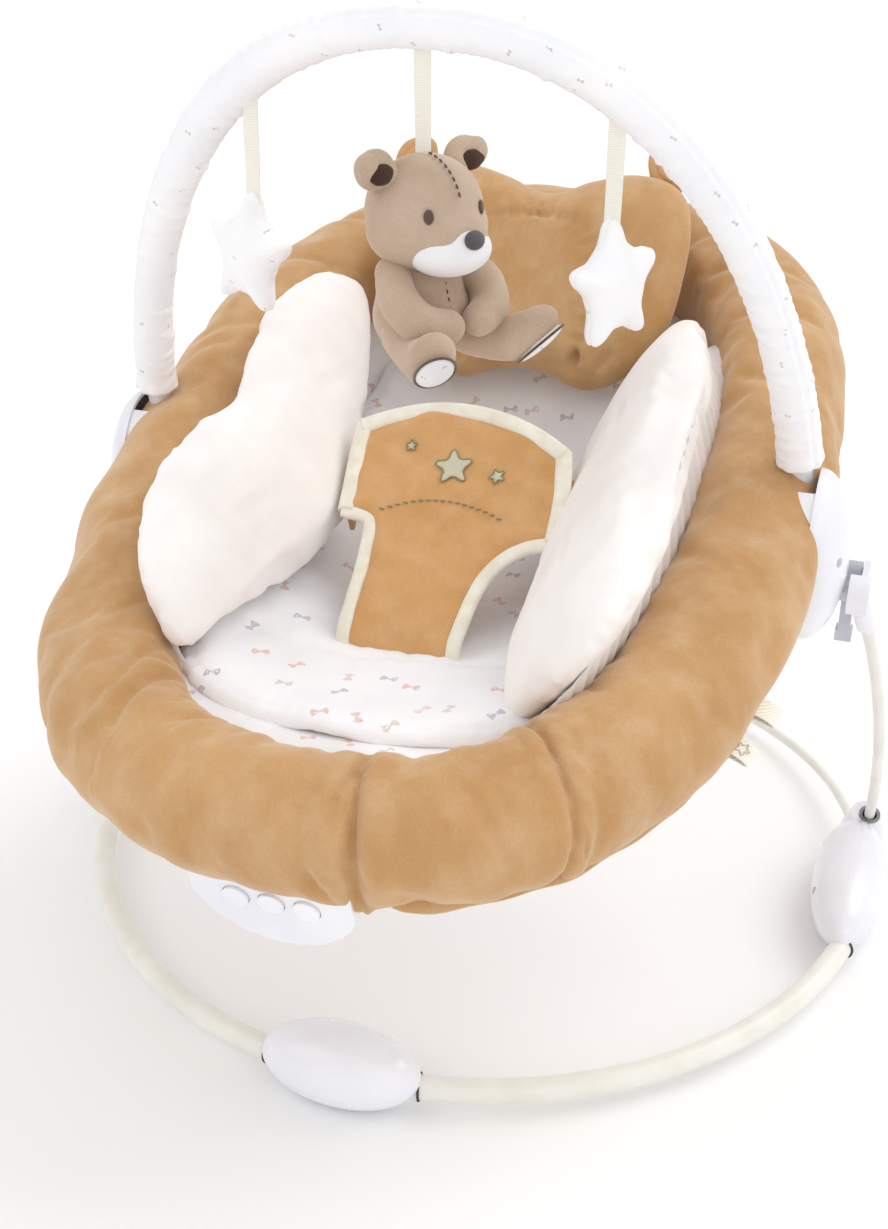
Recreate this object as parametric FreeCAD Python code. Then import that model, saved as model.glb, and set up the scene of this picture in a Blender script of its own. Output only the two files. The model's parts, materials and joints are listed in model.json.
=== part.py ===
import FreeCAD, Part
import math
import os

# Baby bouncer seat, millimetres.  +Z up, -Y towards the baby's feet, floor at z = 0.
# X = 0 is the plane of symmetry; the origin is under the middle of the overall box.

V = FreeCAD.Vector
X_AXIS = V(1, 0, 0)
Y_AXIS = V(0, 1, 0)
Z_AXIS = V(0, 0, 1)
SIDES = {"left": -1, "right": 1}

# Running and assembly clearances
SOFT_GAP = 0.5
RUN_GAP = 0.06
MOVE_GAP = 0.5

# Screws that hold the moulded shells together
SCREW_R = 1.5
SCREW_HEAD_R = 3.0
SCREW_HEAD_T = 2.0
SCREW_BORE_R = 3.2
SCREW_POST_R = 4.2

# Seat plane: every seat piece is drawn flat (x across, y along, z out of the seat), then tilted
SEAT_TILT = 16.1
SEAT_Y = -14.3
SEAT_Z = 342.5

# Padded rim around the seat
RIM_HALF_W = 200.5
RIM_HALF_L = 308.8
RIM_END_R = 173.0
RIM_R = 42.5
FRAME_TUBE_R = 8.0
FRAME_TUBE_WALL = 1.2

# Seat bowl
BOWL_DEPTH = 98.0
BOWL_DEEPEST = 10.0
BOWL_HALF_L = 272.0
BOWL_HALF_W = 164.0
SLING_T = 4.0
SLING_HEM = 12.0
LINER_T = 12.0
LINER_INSET = 7.0
HARNESS_SLOT_HALF_W = 36.5

# Side bolsters: flattened eggs lying on the inner face of the rim
BOLSTER_RISE = 53.0
BOLSTER_CENTRE = (128.0, -21.0, 6.0)
BOLSTER_SEMI = (66.0, 192.0, 25.0)

# Headrest pillow in the shape of a soft animal's head, with a round ear at each top corner
HEAD_U = 124.0
HEAD_N = -7.0
HEAD_RISE = 43.6
HEAD_T = 42.0
HEAD_HALF_OUTLINE = [
    [(0, 0), (58, -8), (100, 22)],
    [(100, 22), (124, 84), (104, 142)],
    [(104, 142), (56, 168), (0, 154)],
]
EAR_AT = (98.0, 160.0)
EAR_R = 25.0
EAR_T = 14.0

# Harness panel: T shape with curved leg openings
HARNESS_U = -139.0
HARNESS_N = -40.0
HARNESS_RISE = 20.7
HARNESS_T = 9.0
HARNESS_HALF_OUTLINE = [
    [(0, 0), (36, 0)],
    [(36, 0), (45, 58), (86, 88)],
    [(86, 88), (80, 154)],
    [(80, 154), (43, 172), (0, 180)],
]
BAND_OUTLINE = [[(80, 3), (84, 3)], [(84, 3), (70, -75)], [(70, -75), (66, -75)], [(66, -75), (80, 3)]]
BAND_W = 38.0

# Two ribbon tags on the right: across, along, turn
TAGS = ((221.0, -150.0, -15.0), (214.0, -180.0, -22.0))
TAG_N = -22.0
TAG_L = 22.0
TAG_HALF_W = 9.0
TAG_DROOP = 35.0

# Base ring on the floor
RING_R = 300.0
RING_TUBE_R = 8.0
RING_TUBE_Z = 18.0
RING_TUBE_WALL = 1.2
ROD_R = 4.0
REAR_ROD_R = 294.0
REAR_HALF_SWEEP = 78.0
REAR_FOOT_R = 6.5
POD_R = 27.0
POD_WALL = 2.5
SIDE_POD_HALF_L = 75.0
SIDE_POD_Y = 47.0
SIDE_POD_X = 290.0
SIDE_POD_TAPER = 6.0
SIDE_SCREW_Y = 30.0
SIDE_SCREW_Z = 33.0
SIDE_SCREW_HEAD_X = 274.0
FRONT_POD_HALF_L = 54.0
FRONT_POD_TAPER = 8.0
FRONT_SCREW_X = 24.0
FRONT_SCREW_Y = 15.0
FRONT_SCREW_HEAD_Z = 8.0
FRONT_SCREW_L = 28.0
FRONT_FOOT_SEMI = (26.0, 10.0)
SIDE_FOOT_SEMI = (34.0, 10.0)
FOOT_T = 3.0
POD_FLOOR = 1.2
POD_SEAM_Z = 21.5

# Sprung uprights, hinged where they leave the side pods
BOUNCE_Y = 114.0
BOUNCE_Z = 44.0
UPRIGHT_FOOT_X = 297.0
UPRIGHT_MID = (295.0, 62.0, 150.0)
KNUCKLE_X = 270.0
NECK_BACK = 24.0
NECK_SHIFT_X = 3.0
NECK_BASE_R = 17.0
NECK_TOP_R = 11.5
NECK_SEAT_R = 11.0
GROMMET_R = 8.0
GROMMET_L = 18.0
GROMMET_BACK = 17.4
GROMMET_FLOOR = 4.0
FLEX_GAP = 1.6
KNUCKLE_R = 13.0
KNUCKLE_T = 13.0

# Hubs at the sides of the seat
HUB_Y = -13.0
HUB_Z = 316.0
HUB_HALF_Y = 42.0
HUB_HALF_Z = 58.0
HUB_INNER_X = 212.0
HUB_SPLIT_X = 237.0
HUB_OUTER_X = 261.5
HUB_WALL = 2.5
RECLINE_Y = -13.0
RECLINE_Z = 292.0
AXLE_R = 5.0
HUB_SCREWS = ((HUB_Y - 24, HUB_Z + 8), (HUB_Y + 24, HUB_Z + 8), (HUB_Y + 12, HUB_Z - 42))
HUB_SCREW_R = 1.6
HUB_SCREW_HEAD_X = 250.0
BRACKET_HALF_L = 34.0
BRACKET_HALF_T = 12.0
BRACKET_X = 190.0
RIM_POCKET_X = 209.1
ARCH_POCKET_X = 198.0
ARCH_POCKET_Z = 366.0

# Recline levers, hung on a pin of the knuckle
LEVER_Y = RECLINE_Y + 30.0
LEVER_Z = RECLINE_Z + 4.0
LEVER_X = 258.6
LEVER_BOSS_R = 6.0
LEVER_L = 52.0
LEVER_PIN_R = 2.0

# Release buttons of the play arch, on the hubs' front edge
RELEASE_Y = HUB_Y - 38.0
RELEASE_Z = HUB_Z - 24.0
RELEASE_X = 222.0
RELEASE_W = 11.0
RELEASE_HALF_H = 12.0
RELEASE_TRAVEL = 2.0
RELEASE_GAP = 0.5

# Play arch
ARCH_LEAN = 14.74
ARCH_BASE_Y = 3.0
ARCH_BASE_Z = 301.0
ARCH_HALF_W = 228.5
ARCH_HEIGHT = 345.0
ARCH_TOP_R = 203.7
ARCH_TUBE_R = 7.0
ARCH_COVER_R = 14.5
ARCH_PIVOT_H = 32.0
ARCH_PIN_R = 3.0
ARCH_PLUG_L = 14.0
ARCH_COVER_H = 84.0
LEG_ROOM_X = 215.5
LEG_ROOM_R = 12.0
LEG_ROOM_HALF_W = 9.5
LEG_ROOM_L = 80.0
LEG_ROOM_TURNS = range(-22, 27, 4)

# Toys
STRAP_T = 1.4
STRAP_W = 12.0
STAR_X = 111.0
STAR_TOP_Z = 530.0
STAR_R = 38.0
STAR_T = 24.0
STAR_TURN = 12.0
STAR_WAIST = 0.60
STAR_EDGE = 5.0
BEAR_TOP_Z = 566.0
BEAR_HEAD_R = 29.5
BEAR_MUZZLE_R = 14.5
BEAR_EAR_R = 12.0
BEAR_EARS_X = (-23.0, 31.0)
BEAR_BODY_R = 27.0
BEAR_ARM_R = 9.5
BEAR_LEG_R = 13.5

# Control module under the front of the rim
MODULE_FACE = -344.0
MODULE_DEPTH = 48.0
MODULE_BACK = MODULE_FACE + MODULE_DEPTH
MODULE_HALF_W = 48.0
MODULE_TOP = -14.0
MODULE_LOW = -68.0
MODULE_WALL = 2.2
BUTTON_R = 7.6
BUTTON_PITCH = 21.0
BUTTON_N = -32.0
BUTTON_X = (-BUTTON_PITCH, 0.0, BUTTON_PITCH)
BUTTON_PROUD = 1.8
BUTTON_FLANGE = 1.2
BUTTON_DEPTH = 4.0
BUTTON_GAP = 0.35
MODULE_CLIPS = (-26.0, 26.0)
MODULE_TUBE_U = -307.0
DOOR_HALF_W = 26.0
DOOR_TOP = -44.5
DOOR_LOW = -58.0
DOOR_GAP = 0.4
DOOR_SCREW = (32.0, -51.0)
DOOR_SCREW_R = 1.3
CELL_R = 7.2
CELL_L = 50.0
CELL_N = -48.5
CELL_BACK = (13.0, 28.0)

os.makedirs("parts", exist_ok=True)

SEAT = FreeCAD.Placement(V(0, SEAT_Y, SEAT_Z), FreeCAD.Rotation(X_AXIS, SEAT_TILT))
ARCH = FreeCAD.Placement(V(0, ARCH_BASE_Y, ARCH_BASE_Z), FreeCAD.Rotation(X_AXIS, ARCH_LEAN))


# ---------------------------------------------------------------- helpers

def placed(shape, placement):
    """The shape carried from a sub-assembly's own frame to the part's frame."""
    out = shape.copy()
    out.transformShape(placement.toMatrix())
    return out


def mirrored(shape):
    return shape.mirror(V(0, 0, 0), X_AXIS)


def pair(shape):
    """A piece drawn for the right side, with its mirror image."""
    return shape, mirrored(shape)


def on_side(shape, side):
    """A piece drawn for the right side (+X), or its mirror image for the left."""
    return shape if side > 0 else mirrored(shape)


def export(name, *shapes):
    """One STEP file per node; a node of several pieces is a compound of separate solids."""
    solids = [solid for shape in shapes for solid in shape.Solids]
    for solid in solids:
        if not solid.isValid():
            print("INVALID", name)
    shape = solids[0] if len(solids) == 1 else Part.makeCompound(solids)
    shape.exportStep("parts/%s.step" % name)
    box = shape.BoundBox
    corners = (box.XMin, box.XMax, box.YMin, box.YMax, box.ZMin, box.ZMax)
    sizes = " ".join("%7.1f" % corner for corner in corners)
    print("%-26s n=%d vol=%10.1f  %s" % (name, len(solids), shape.Volume, sizes))


def box(x0, x1, y0, y1, z0, z1):
    return Part.makeBox(x1 - x0, y1 - y0, z1 - z0, V(x0, y0, z0))


def cylinder(radius, start, end):
    axis = V(*end) - V(*start)
    return Part.makeCylinder(radius, axis.Length, V(*start), axis)


def ellipsoid(centre, semi_axes):
    ball = Part.makeSphere(1.0)
    matrix = FreeCAD.Matrix()
    matrix.scale(*semi_axes)
    matrix.move(V(*centre))
    return ball.transformGeometry(matrix)


def largest(shape):
    """The main solid of a cut shape, without loose crumbs."""
    return max(shape.Solids, key=lambda solid: solid.Volume)


def spheroid(half_length, radius, axis_rotation, centre):
    """Egg of revolution about its long axis."""
    ellipse = Part.Ellipse(V(0, 0, 0), half_length, radius)
    arc = ellipse.toShape(0, math.pi)
    face = Part.Face(Part.Wire([arc, Part.makeLine(V(-half_length, 0, 0), V(half_length, 0, 0))]))
    solid = face.revolve(V(0, 0, 0), X_AXIS, 360)
    if solid.Volume < 0:
        solid.reverse()
    return placed(solid, FreeCAD.Placement(V(*centre), axis_rotation))


def arc_tube(radius, centre, bend, start_deg, end_deg):
    """Round bar bent to one arc in the XY plane."""
    a = math.radians(start_deg)
    middle = V(centre[0] + bend * math.cos(a), centre[1] + bend * math.sin(a), 0)
    circle = Part.Wire(Part.makeCircle(radius, middle, V(-math.sin(a), math.cos(a), 0)))
    return Part.Face(circle).revolve(V(centre[0], centre[1], 0), Z_AXIS, end_deg - start_deg)


def three_point_bar(radius, start, middle, end):
    """Round bar bent to the arc through three points."""
    arc = Part.Arc(V(*start), V(*middle), V(*end))
    edge = arc.toShape()
    begin = edge.FirstParameter
    circle = Part.Wire(Part.makeCircle(radius, edge.valueAt(begin), edge.tangentAt(begin)))
    sweep = math.degrees(edge.Length / edge.Curve.Radius)
    return Part.Face(circle).revolve(edge.Curve.Center, edge.Curve.Axis, sweep)


def oval_side_radius(half_w, half_l, end_r):
    """Side radius of a four-centre oval whose end arcs are centred on the long axis."""
    reach = half_l - end_r
    return (half_w ** 2 + reach ** 2 - end_r ** 2) / (2 * (half_w - end_r))


def oval_arcs(half_w, half_l, end_r):
    """Arcs (centre, radius, start, end) of the oval's right half, from the front round to the back."""
    side_r = oval_side_radius(half_w, half_l, end_r)
    reach = half_l - end_r
    turn = math.degrees(math.atan2(reach, side_r - half_w))
    return [
        ((0, -reach), end_r, -90, -turn),
        ((half_w - side_r, 0), side_r, -turn, turn),
        ((0, reach), end_r, turn, 90),
    ]


def oval_tube(radius, half_w, half_l, end_r):
    """Closed tube along the whole oval."""
    right = [arc_tube(radius, *arc) for arc in oval_arcs(half_w, half_l, end_r)]
    pieces = right + [mirrored(piece) for piece in right]
    return pieces[0].fuse(pieces[1:]).removeSplitter()


def oval_prism(half_w, half_l, end_r, z0, z1):
    """Flat plate with the oval's outline."""
    edges = []
    for centre, bend, start, end in oval_arcs(half_w, half_l, end_r):
        circle = Part.Circle(V(centre[0], centre[1], z0), Z_AXIS, bend)
        arc = Part.ArcOfCircle(circle, math.radians(start), math.radians(end)).toShape()
        edges += [arc, mirrored(arc)]
    wire = Part.Wire(Part.__sortEdges__(edges))
    return Part.Face(wire).extrude(V(0, 0, z1 - z0))


def outline_prism(segments, thickness):
    """Plate from a list of edges given as two points (line) or three points (arc), extruded along +Z."""
    edges = []
    for points in segments:
        vectors = [V(x, y, 0) for x, y in points]
        if len(vectors) == 2:
            edges.append(Part.makeLine(*vectors))
        else:
            edges.append(Part.Arc(*vectors).toShape())
    return Part.Face(Part.Wire(Part.__sortEdges__(edges))).extrude(V(0, 0, thickness))


def with_mirror(segments):
    """A right-hand outline and its mirror image across x = 0."""
    return segments + [[(-x, y) for x, y in points] for points in segments]


# ---------------------------------------------------------------- driving places

RIM_FRONT_Y = SEAT_Y - RIM_HALF_L * math.cos(math.radians(SEAT_TILT)) - RIM_R
RING_Y = -RIM_FRONT_Y - RING_R - REAR_FOOT_R
FRONT_POD_Y = RING_Y - RING_R
REAR_SLOPE = math.degrees(math.atan2(BOUNCE_Z - 12.0 - REAR_FOOT_R, RING_R))


# ---------------------------------------------------------------- base on the floor

def ring_place(z):
    return FreeCAD.Placement(V(0, RING_Y, z), FreeCAD.Rotation())


def rear_rod_place():
    """The rear rod's plane: low at the back, rising into the side pods."""
    back = V(0, RING_Y + RING_R, REAR_FOOT_R)
    return FreeCAD.Placement(back, FreeCAD.Rotation(X_AXIS, -REAR_SLOPE))


def rear_rod(radius, half_sweep):
    bar = arc_tube(radius, (0, -REAR_ROD_R), REAR_ROD_R, 90 - half_sweep, 90 + half_sweep)
    return placed(bar, rear_rod_place())


def front_half_tube():
    """Right half of the front loop, from the front pod to inside the side pod."""
    outer = arc_tube(RING_TUBE_R, (0, 0), RING_R, -89.9, -7)
    bore = arc_tube(RING_TUBE_R - RING_TUBE_WALL, (0, 0), RING_R, -89.9, -7)
    return placed(outer.cut(bore), ring_place(RING_TUBE_Z))


def front_loop_solid():
    """The stretch of the front loop inside the front pod, as a solid bar."""
    return placed(arc_tube(RING_TUBE_R, (0, 0), RING_R, -110, -70), ring_place(RING_TUBE_Z))


def upright_bar(radius):
    foot = (UPRIGHT_FOOT_X, BOUNCE_Y, BOUNCE_Z)
    head = (KNUCKLE_X, RECLINE_Y, RECLINE_Z)
    return three_point_bar(radius, foot, UPRIGHT_MID, head)


def upright_direction():
    """Direction of the upright where it leaves the pod."""
    arc = Part.Arc(V(UPRIGHT_FOOT_X, BOUNCE_Y, BOUNCE_Z), V(*UPRIGHT_MID), V(KNUCKLE_X, RECLINE_Y, RECLINE_Z))
    edge = arc.toShape()
    return edge.tangentAt(edge.FirstParameter)


def foot_pad(semi_axes, place):
    ellipse = Part.Ellipse(V(0, 0, 0), *semi_axes).toShape()
    return placed(Part.Face(Part.Wire(ellipse)).extrude(V(0, 0, FOOT_T)), place)


def side_pod():
    """Right side pod, split lengthways; returns its inner half, outer half, grommet, screws and foot."""
    along_y = FreeCAD.Rotation(Z_AXIS, 90)
    centre = (SIDE_POD_X, SIDE_POD_Y, POD_R - POD_FLOOR)
    egg = spheroid(SIDE_POD_HALF_L, POD_R, along_y, centre)
    cavity = spheroid(SIDE_POD_HALF_L - SIDE_POD_TAPER, POD_R - POD_WALL, along_y, centre)
    direction = upright_direction()
    foot = V(UPRIGHT_FOOT_X, BOUNCE_Y, BOUNCE_Z)
    neck_base = foot - direction * NECK_BACK - V(NECK_SHIFT_X, 0, 0)
    neck = Part.makeCone(NECK_BASE_R, NECK_TOP_R, NECK_BACK, neck_base, direction)
    rod_seat = Part.makeCylinder(NECK_SEAT_R, NECK_BACK - 4, neck_base, direction)
    shell = egg.fuse(neck).cut(cavity).fuse(rod_seat.common(egg))
    shell = shell.cut(box(200, 340, -100, 200, -10, POD_FLOOR))
    shell = shell.cut(placed(arc_tube(RING_TUBE_R, (0, 0), RING_R, -25, -5), ring_place(RING_TUBE_Z)))
    rear = rear_rod(ROD_R, REAR_HALF_SWEEP + 0.5)
    shell = shell.cut(rear)
    grommet_outer = Part.makeCylinder(GROMMET_R, GROMMET_L, foot - direction * GROMMET_BACK, direction)
    bore_foot = foot - direction * (GROMMET_BACK - GROMMET_FLOOR)
    bore = Part.makeCylinder(ROD_R + FLEX_GAP, 60.0, bore_foot, direction)
    grommet = grommet_outer.cut(bore).cut(rear)
    shell = shell.cut(grommet_outer).cut(bore)
    pad = foot_pad(SIDE_FOOT_SEMI, FreeCAD.Placement(V(SIDE_POD_X, SIDE_POD_Y, 0), along_y))
    shell = shell.cut(pad)
    screws, bores = [], []
    for y in (SIDE_POD_Y - SIDE_SCREW_Y, SIDE_POD_Y + SIDE_SCREW_Y):
        seat = (SIDE_SCREW_HEAD_X, y, SIDE_SCREW_Z)
        shank = cylinder(SCREW_R, seat, (SIDE_POD_X + 8, y, SIDE_SCREW_Z))
        post = cylinder(SCREW_POST_R, (SIDE_POD_X - 21, y, SIDE_SCREW_Z), (SIDE_POD_X + 23, y, SIDE_SCREW_Z))
        shell = shell.fuse(post.common(egg))
        bores.append(cylinder(SCREW_BORE_R, (SIDE_POD_X - POD_R, y, SIDE_SCREW_Z), seat).fuse(shank))
        head_top = (SIDE_SCREW_HEAD_X - SCREW_HEAD_T, y, SIDE_SCREW_Z)
        screws.append(cylinder(SCREW_HEAD_R, head_top, seat).fuse(shank))
    for screw_bore in bores:
        shell = shell.cut(screw_bore)
    inner = shell.common(box(200, SIDE_POD_X, -100, 200, -10, 120))
    outer = shell.common(box(SIDE_POD_X, 340, -100, 200, -10, 120))
    return inner, outer, grommet, screws, pad


def front_pod():
    """Egg that clips over the joint of the two front tubes: upper and lower halves, screws and foot."""
    centre = (0, FRONT_POD_Y, POD_R - POD_FLOOR)
    egg = ellipsoid(centre, (FRONT_POD_HALF_L, POD_R, POD_R))
    cavity = ellipsoid(centre, (FRONT_POD_HALF_L - FRONT_POD_TAPER, POD_R - POD_WALL, POD_R - POD_WALL))
    pad = foot_pad(FRONT_FOOT_SEMI, FreeCAD.Placement(V(0, FRONT_POD_Y, 0), FreeCAD.Rotation()))
    screws, bores, posts = [], [], []
    y = FRONT_POD_Y + FRONT_SCREW_Y
    for x in (-FRONT_SCREW_X, FRONT_SCREW_X):
        seat = (x, y, FRONT_SCREW_HEAD_Z)
        shank = cylinder(SCREW_R, seat, (x, y, FRONT_SCREW_HEAD_Z + FRONT_SCREW_L))
        bores.append(cylinder(SCREW_BORE_R, (x, y, 0), seat).fuse(shank))
        screws.append(cylinder(SCREW_HEAD_R, (x, y, FRONT_SCREW_HEAD_Z - SCREW_HEAD_T), seat).fuse(shank))
        posts.append(cylinder(SCREW_POST_R, (x, y, FOOT_T), (x, y, 2 * POD_R)))
    halves = []
    for z0, z1 in ((POD_SEAM_Z, 80), (POD_FLOOR, POD_SEAM_Z)):
        solid = egg.common(box(-80, 80, FRONT_POD_Y - 60, FRONT_POD_Y + 60, z0, z1))
        shell = solid.cut(cavity)
        for post in posts:
            shell = shell.fuse(post.common(solid))
        for piece in bores + [pad, front_loop_solid()]:
            shell = shell.cut(piece)
        halves.append(largest(shell))
    return halves[0], halves[1], screws, pad


def build_base():
    tube = front_half_tube()
    export("front_tube_right", tube)
    export("front_tube_left", mirrored(tube))
    joiner = arc_tube(RING_TUBE_R - RING_TUBE_WALL - RUN_GAP, (0, 0), RING_R, -97, -83)
    joiner = joiner.cut(arc_tube(RING_TUBE_R - 2.6, (0, 0), RING_R, -98, -82))
    export("front_tube_joiner", placed(joiner, ring_place(RING_TUBE_Z)))
    upper, lower, screws, pad = front_pod()
    export("front_pod_upper", upper)
    export("front_pod_lower", lower)
    inner, outer, grommet, side_screws, side_pad = side_pod()
    export("side_pod_inner_halves", *pair(largest(inner)))
    export("side_pod_outer_halves", *pair(largest(outer)))
    export("rod_grommets", *pair(largest(grommet)))
    export("pod_screws", *screws, *side_screws, *[mirrored(screw) for screw in side_screws])
    export("foot_pads", pad, side_pad, mirrored(side_pad))
    export("rear_rod", rear_rod(ROD_R, REAR_HALF_SWEEP))
    sleeve = rear_rod(REAR_FOOT_R, 8).cut(rear_rod(ROD_R, 9))
    export("rear_foot_sleeve", sleeve)


# ---------------------------------------------------------------- uprights and recline gear

def upright():
    """Sprung rod: its foot sits in the grommet and its head in the knuckle."""
    direction = upright_direction()
    foot = V(UPRIGHT_FOOT_X, BOUNCE_Y, BOUNCE_Z)
    tail = Part.makeCylinder(ROD_R, 10.0, foot - direction * 10.0, direction)
    keep = box(200, 330, -60, 200, 0, RECLINE_Z - KNUCKLE_R - 1)
    return upright_bar(ROD_R).common(keep).fuse(tail).removeSplitter()


def knuckle():
    """Plastic knuckle that grips the upright's head, the axle and the release lever's pin."""
    disc_start = (KNUCKLE_X - KNUCKLE_T / 2, RECLINE_Y, RECLINE_Z)
    disc = cylinder(KNUCKLE_R, disc_start, (KNUCKLE_X + KNUCKLE_T / 2, RECLINE_Y, RECLINE_Z))
    socket = upright_bar(6.5).common(box(240, 300, -60, 60, RECLINE_Z - 32, RECLINE_Z))
    arm = box(KNUCKLE_X, KNUCKLE_X + 4, RECLINE_Y + 9, LEVER_Y + 5, LEVER_Z - 5, LEVER_Z + 5)
    pin = cylinder(LEVER_PIN_R, (LEVER_X - 0.6, LEVER_Y, LEVER_Z), (KNUCKLE_X, LEVER_Y, LEVER_Z))
    body = disc.fuse([socket, arm, pin]).cut(upright())
    return body.cut(recline_axle())


def recline_axle():
    """Axle fixed in the knuckle; the hub turns on it."""
    inner_end = (HUB_INNER_X + 3.5, RECLINE_Y, RECLINE_Z)
    return cylinder(AXLE_R, inner_end, (KNUCKLE_X + 3.5, RECLINE_Y, RECLINE_Z))


def recline_lever():
    """Hanging paddle that frees the recline ratchet when it is pulled back."""
    boss = cylinder(LEVER_BOSS_R, (LEVER_X, LEVER_Y, LEVER_Z), (KNUCKLE_X - 0.6, LEVER_Y, LEVER_Z))
    low = LEVER_Z - LEVER_L
    paddle = box(LEVER_X, KNUCKLE_X - 3.6, LEVER_Y - 4, LEVER_Y + 4, low + 6, LEVER_Z)
    toe = box(LEVER_X - 1.6, KNUCKLE_X - 2, LEVER_Y - 4, LEVER_Y + 7, low, low + 8)
    body = boss.fuse([paddle, toe]).removeSplitter()
    return body.cut(cylinder(LEVER_PIN_R + RUN_GAP, (250, LEVER_Y, LEVER_Z), (280, LEVER_Y, LEVER_Z)))


def build_uprights():
    export("uprights", *pair(largest(upright())))
    export("knuckles", *pair(largest(knuckle())))
    export("recline_axles", *pair(recline_axle()))
    for name, side in SIDES.items():
        export("recline_lever_" + name, on_side(largest(recline_lever()), side))


# ---------------------------------------------------------------- seat frame and hubs

def arch_pivot():
    lean = math.radians(ARCH_LEAN)
    y = ARCH_BASE_Y - ARCH_PIVOT_H * math.sin(lean)
    return y, ARCH_BASE_Z + ARCH_PIVOT_H * math.cos(lean)


def seat_tube(front):
    """Bent steel tube of the seat frame, front or rear, ending inside the two brackets."""
    arcs = oval_arcs(RIM_HALF_W, RIM_HALF_L, RIM_END_R)
    stop = math.degrees(6.0 / arcs[1][1])
    centre, bend, start, end = arcs[1]
    side_arc = (centre, bend, start, -stop) if front else (centre, bend, stop, end)
    chosen = [arcs[0], side_arc] if front else [side_arc, arcs[2]]
    tube = []
    for radius in (FRAME_TUBE_R, FRAME_TUBE_R - FRAME_TUBE_WALL):
        half = [arc_tube(radius, *arc) for arc in chosen]
        pieces = half + [mirrored(piece) for piece in half]
        tube.append(pieces[0].fuse(pieces[1:]).removeSplitter())
    return tube[0].cut(tube[1])


def seat_bracket():
    """Socket block on the right that joins the two seat tubes to the hub."""
    block = box(BRACKET_X, HUB_INNER_X, -BRACKET_HALF_L, BRACKET_HALF_L, -BRACKET_HALF_T, BRACKET_HALF_T)
    block = block.makeFillet(3.0, block.Edges)
    arcs = oval_arcs(RIM_HALF_W, RIM_HALF_L, RIM_END_R)
    bore = arc_tube(FRAME_TUBE_R, arcs[1][0], arcs[1][1], -8, 8)
    stop = box(BRACKET_X, HUB_INNER_X, -4.0, 4.0, -9.0, 9.0).common(bore)
    return placed(block.cut(bore).fuse(stop), SEAT)


def hub_egg(inset):
    """Egg-shaped hub outline, drawn in as far as inset."""
    depth = HUB_OUTER_X - HUB_SPLIT_X - inset
    return ellipsoid((HUB_SPLIT_X, HUB_Y, HUB_Z), (depth, HUB_HALF_Y - inset, HUB_HALF_Z - inset))


def egg_slab(x0, x1, half_y, half_z):
    ellipse = Part.Ellipse(V(0, 0, 0), half_z, half_y).toShape()
    slab = Part.Face(Part.Wire(ellipse)).extrude(V(0, 0, x1 - x0))
    upright_place = FreeCAD.Placement(V(x0, HUB_Y, HUB_Z), FreeCAD.Rotation(Y_AXIS, 90))
    return placed(slab, upright_place)


def arch_leg_sweep():
    """Room that the arch's leg needs in the hub as it tilts."""
    y, z = arch_pivot()
    room = cylinder(LEG_ROOM_R, (LEG_ROOM_X, y, z), (HUB_SPLIT_X + 0.1, y, z))
    swing = box(LEG_ROOM_X, HUB_SPLIT_X + 0.1, y - LEG_ROOM_HALF_W, y + LEG_ROOM_HALF_W, z, z + LEG_ROOM_L)
    for angle in LEG_ROOM_TURNS:
        turned = swing.copy()
        turned.rotate(V(0, y, z), X_AXIS, angle)
        room = room.fuse(turned)
    return room


def hub_inner():
    """Inner hub housing: carries the axle and holds the foot of the play arch."""
    slab = egg_slab(HUB_INNER_X, HUB_SPLIT_X, HUB_HALF_Y - 1.5, HUB_HALF_Z - 1.5)
    slab = slab.cut(arch_leg_sweep())
    axle_floor = (HUB_INNER_X + 3, RECLINE_Y, RECLINE_Z)
    slab = slab.cut(cylinder(AXLE_R + RUN_GAP, axle_floor, (300, RECLINE_Y, RECLINE_Z)))
    slab = slab.cut(release_room())
    for y, z in HUB_SCREWS:
        slab = slab.cut(cylinder(HUB_SCREW_R, (HUB_INNER_X + 8, y, z), (HUB_SPLIT_X + 1, y, z)))
    y, z = arch_pivot()
    pin = cylinder(ARCH_PIN_R, (HUB_INNER_X + 2, y, z), (HUB_SPLIT_X, y, z))
    return largest(slab.fuse(pin))


def hub_outer():
    """Outer hub cover: a half egg with a boss for each screw."""
    half = box(HUB_SPLIT_X, 300, -100, 100, 200, 420)
    shell = hub_egg(0).common(half).cut(hub_egg(HUB_WALL).common(half))
    for y, z in HUB_SCREWS:
        post = cylinder(SCREW_POST_R - 0.2, (HUB_SPLIT_X, y, z), (HUB_OUTER_X, y, z)).common(hub_egg(0.5))
        shell = shell.fuse(post)
        shell = shell.cut(cylinder(HUB_SCREW_R, (HUB_SPLIT_X - 1, y, z), (HUB_SCREW_HEAD_X, y, z)))
        shell = shell.cut(cylinder(SCREW_BORE_R + 0.1, (HUB_SCREW_HEAD_X, y, z), (270, y, z)))
    boss = cylinder(AXLE_R + 3.5, (HUB_SPLIT_X, RECLINE_Y, RECLINE_Z), (HUB_OUTER_X, RECLINE_Y, RECLINE_Z))
    shell = shell.fuse(boss.common(hub_egg(0.5)))
    bore = cylinder(AXLE_R + RUN_GAP, (230, RECLINE_Y, RECLINE_Z), (280, RECLINE_Y, RECLINE_Z))
    return largest(shell.cut(bore))


def hub_screw_set():
    screws = []
    for y, z in HUB_SCREWS:
        seat = (HUB_SCREW_HEAD_X, y, z)
        head = cylinder(SCREW_HEAD_R + 0.1, seat, (HUB_SCREW_HEAD_X + SCREW_HEAD_T, y, z))
        screws.append(head.fuse(cylinder(HUB_SCREW_R, (HUB_INNER_X + 8.5, y, z), seat)))
    return screws


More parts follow.
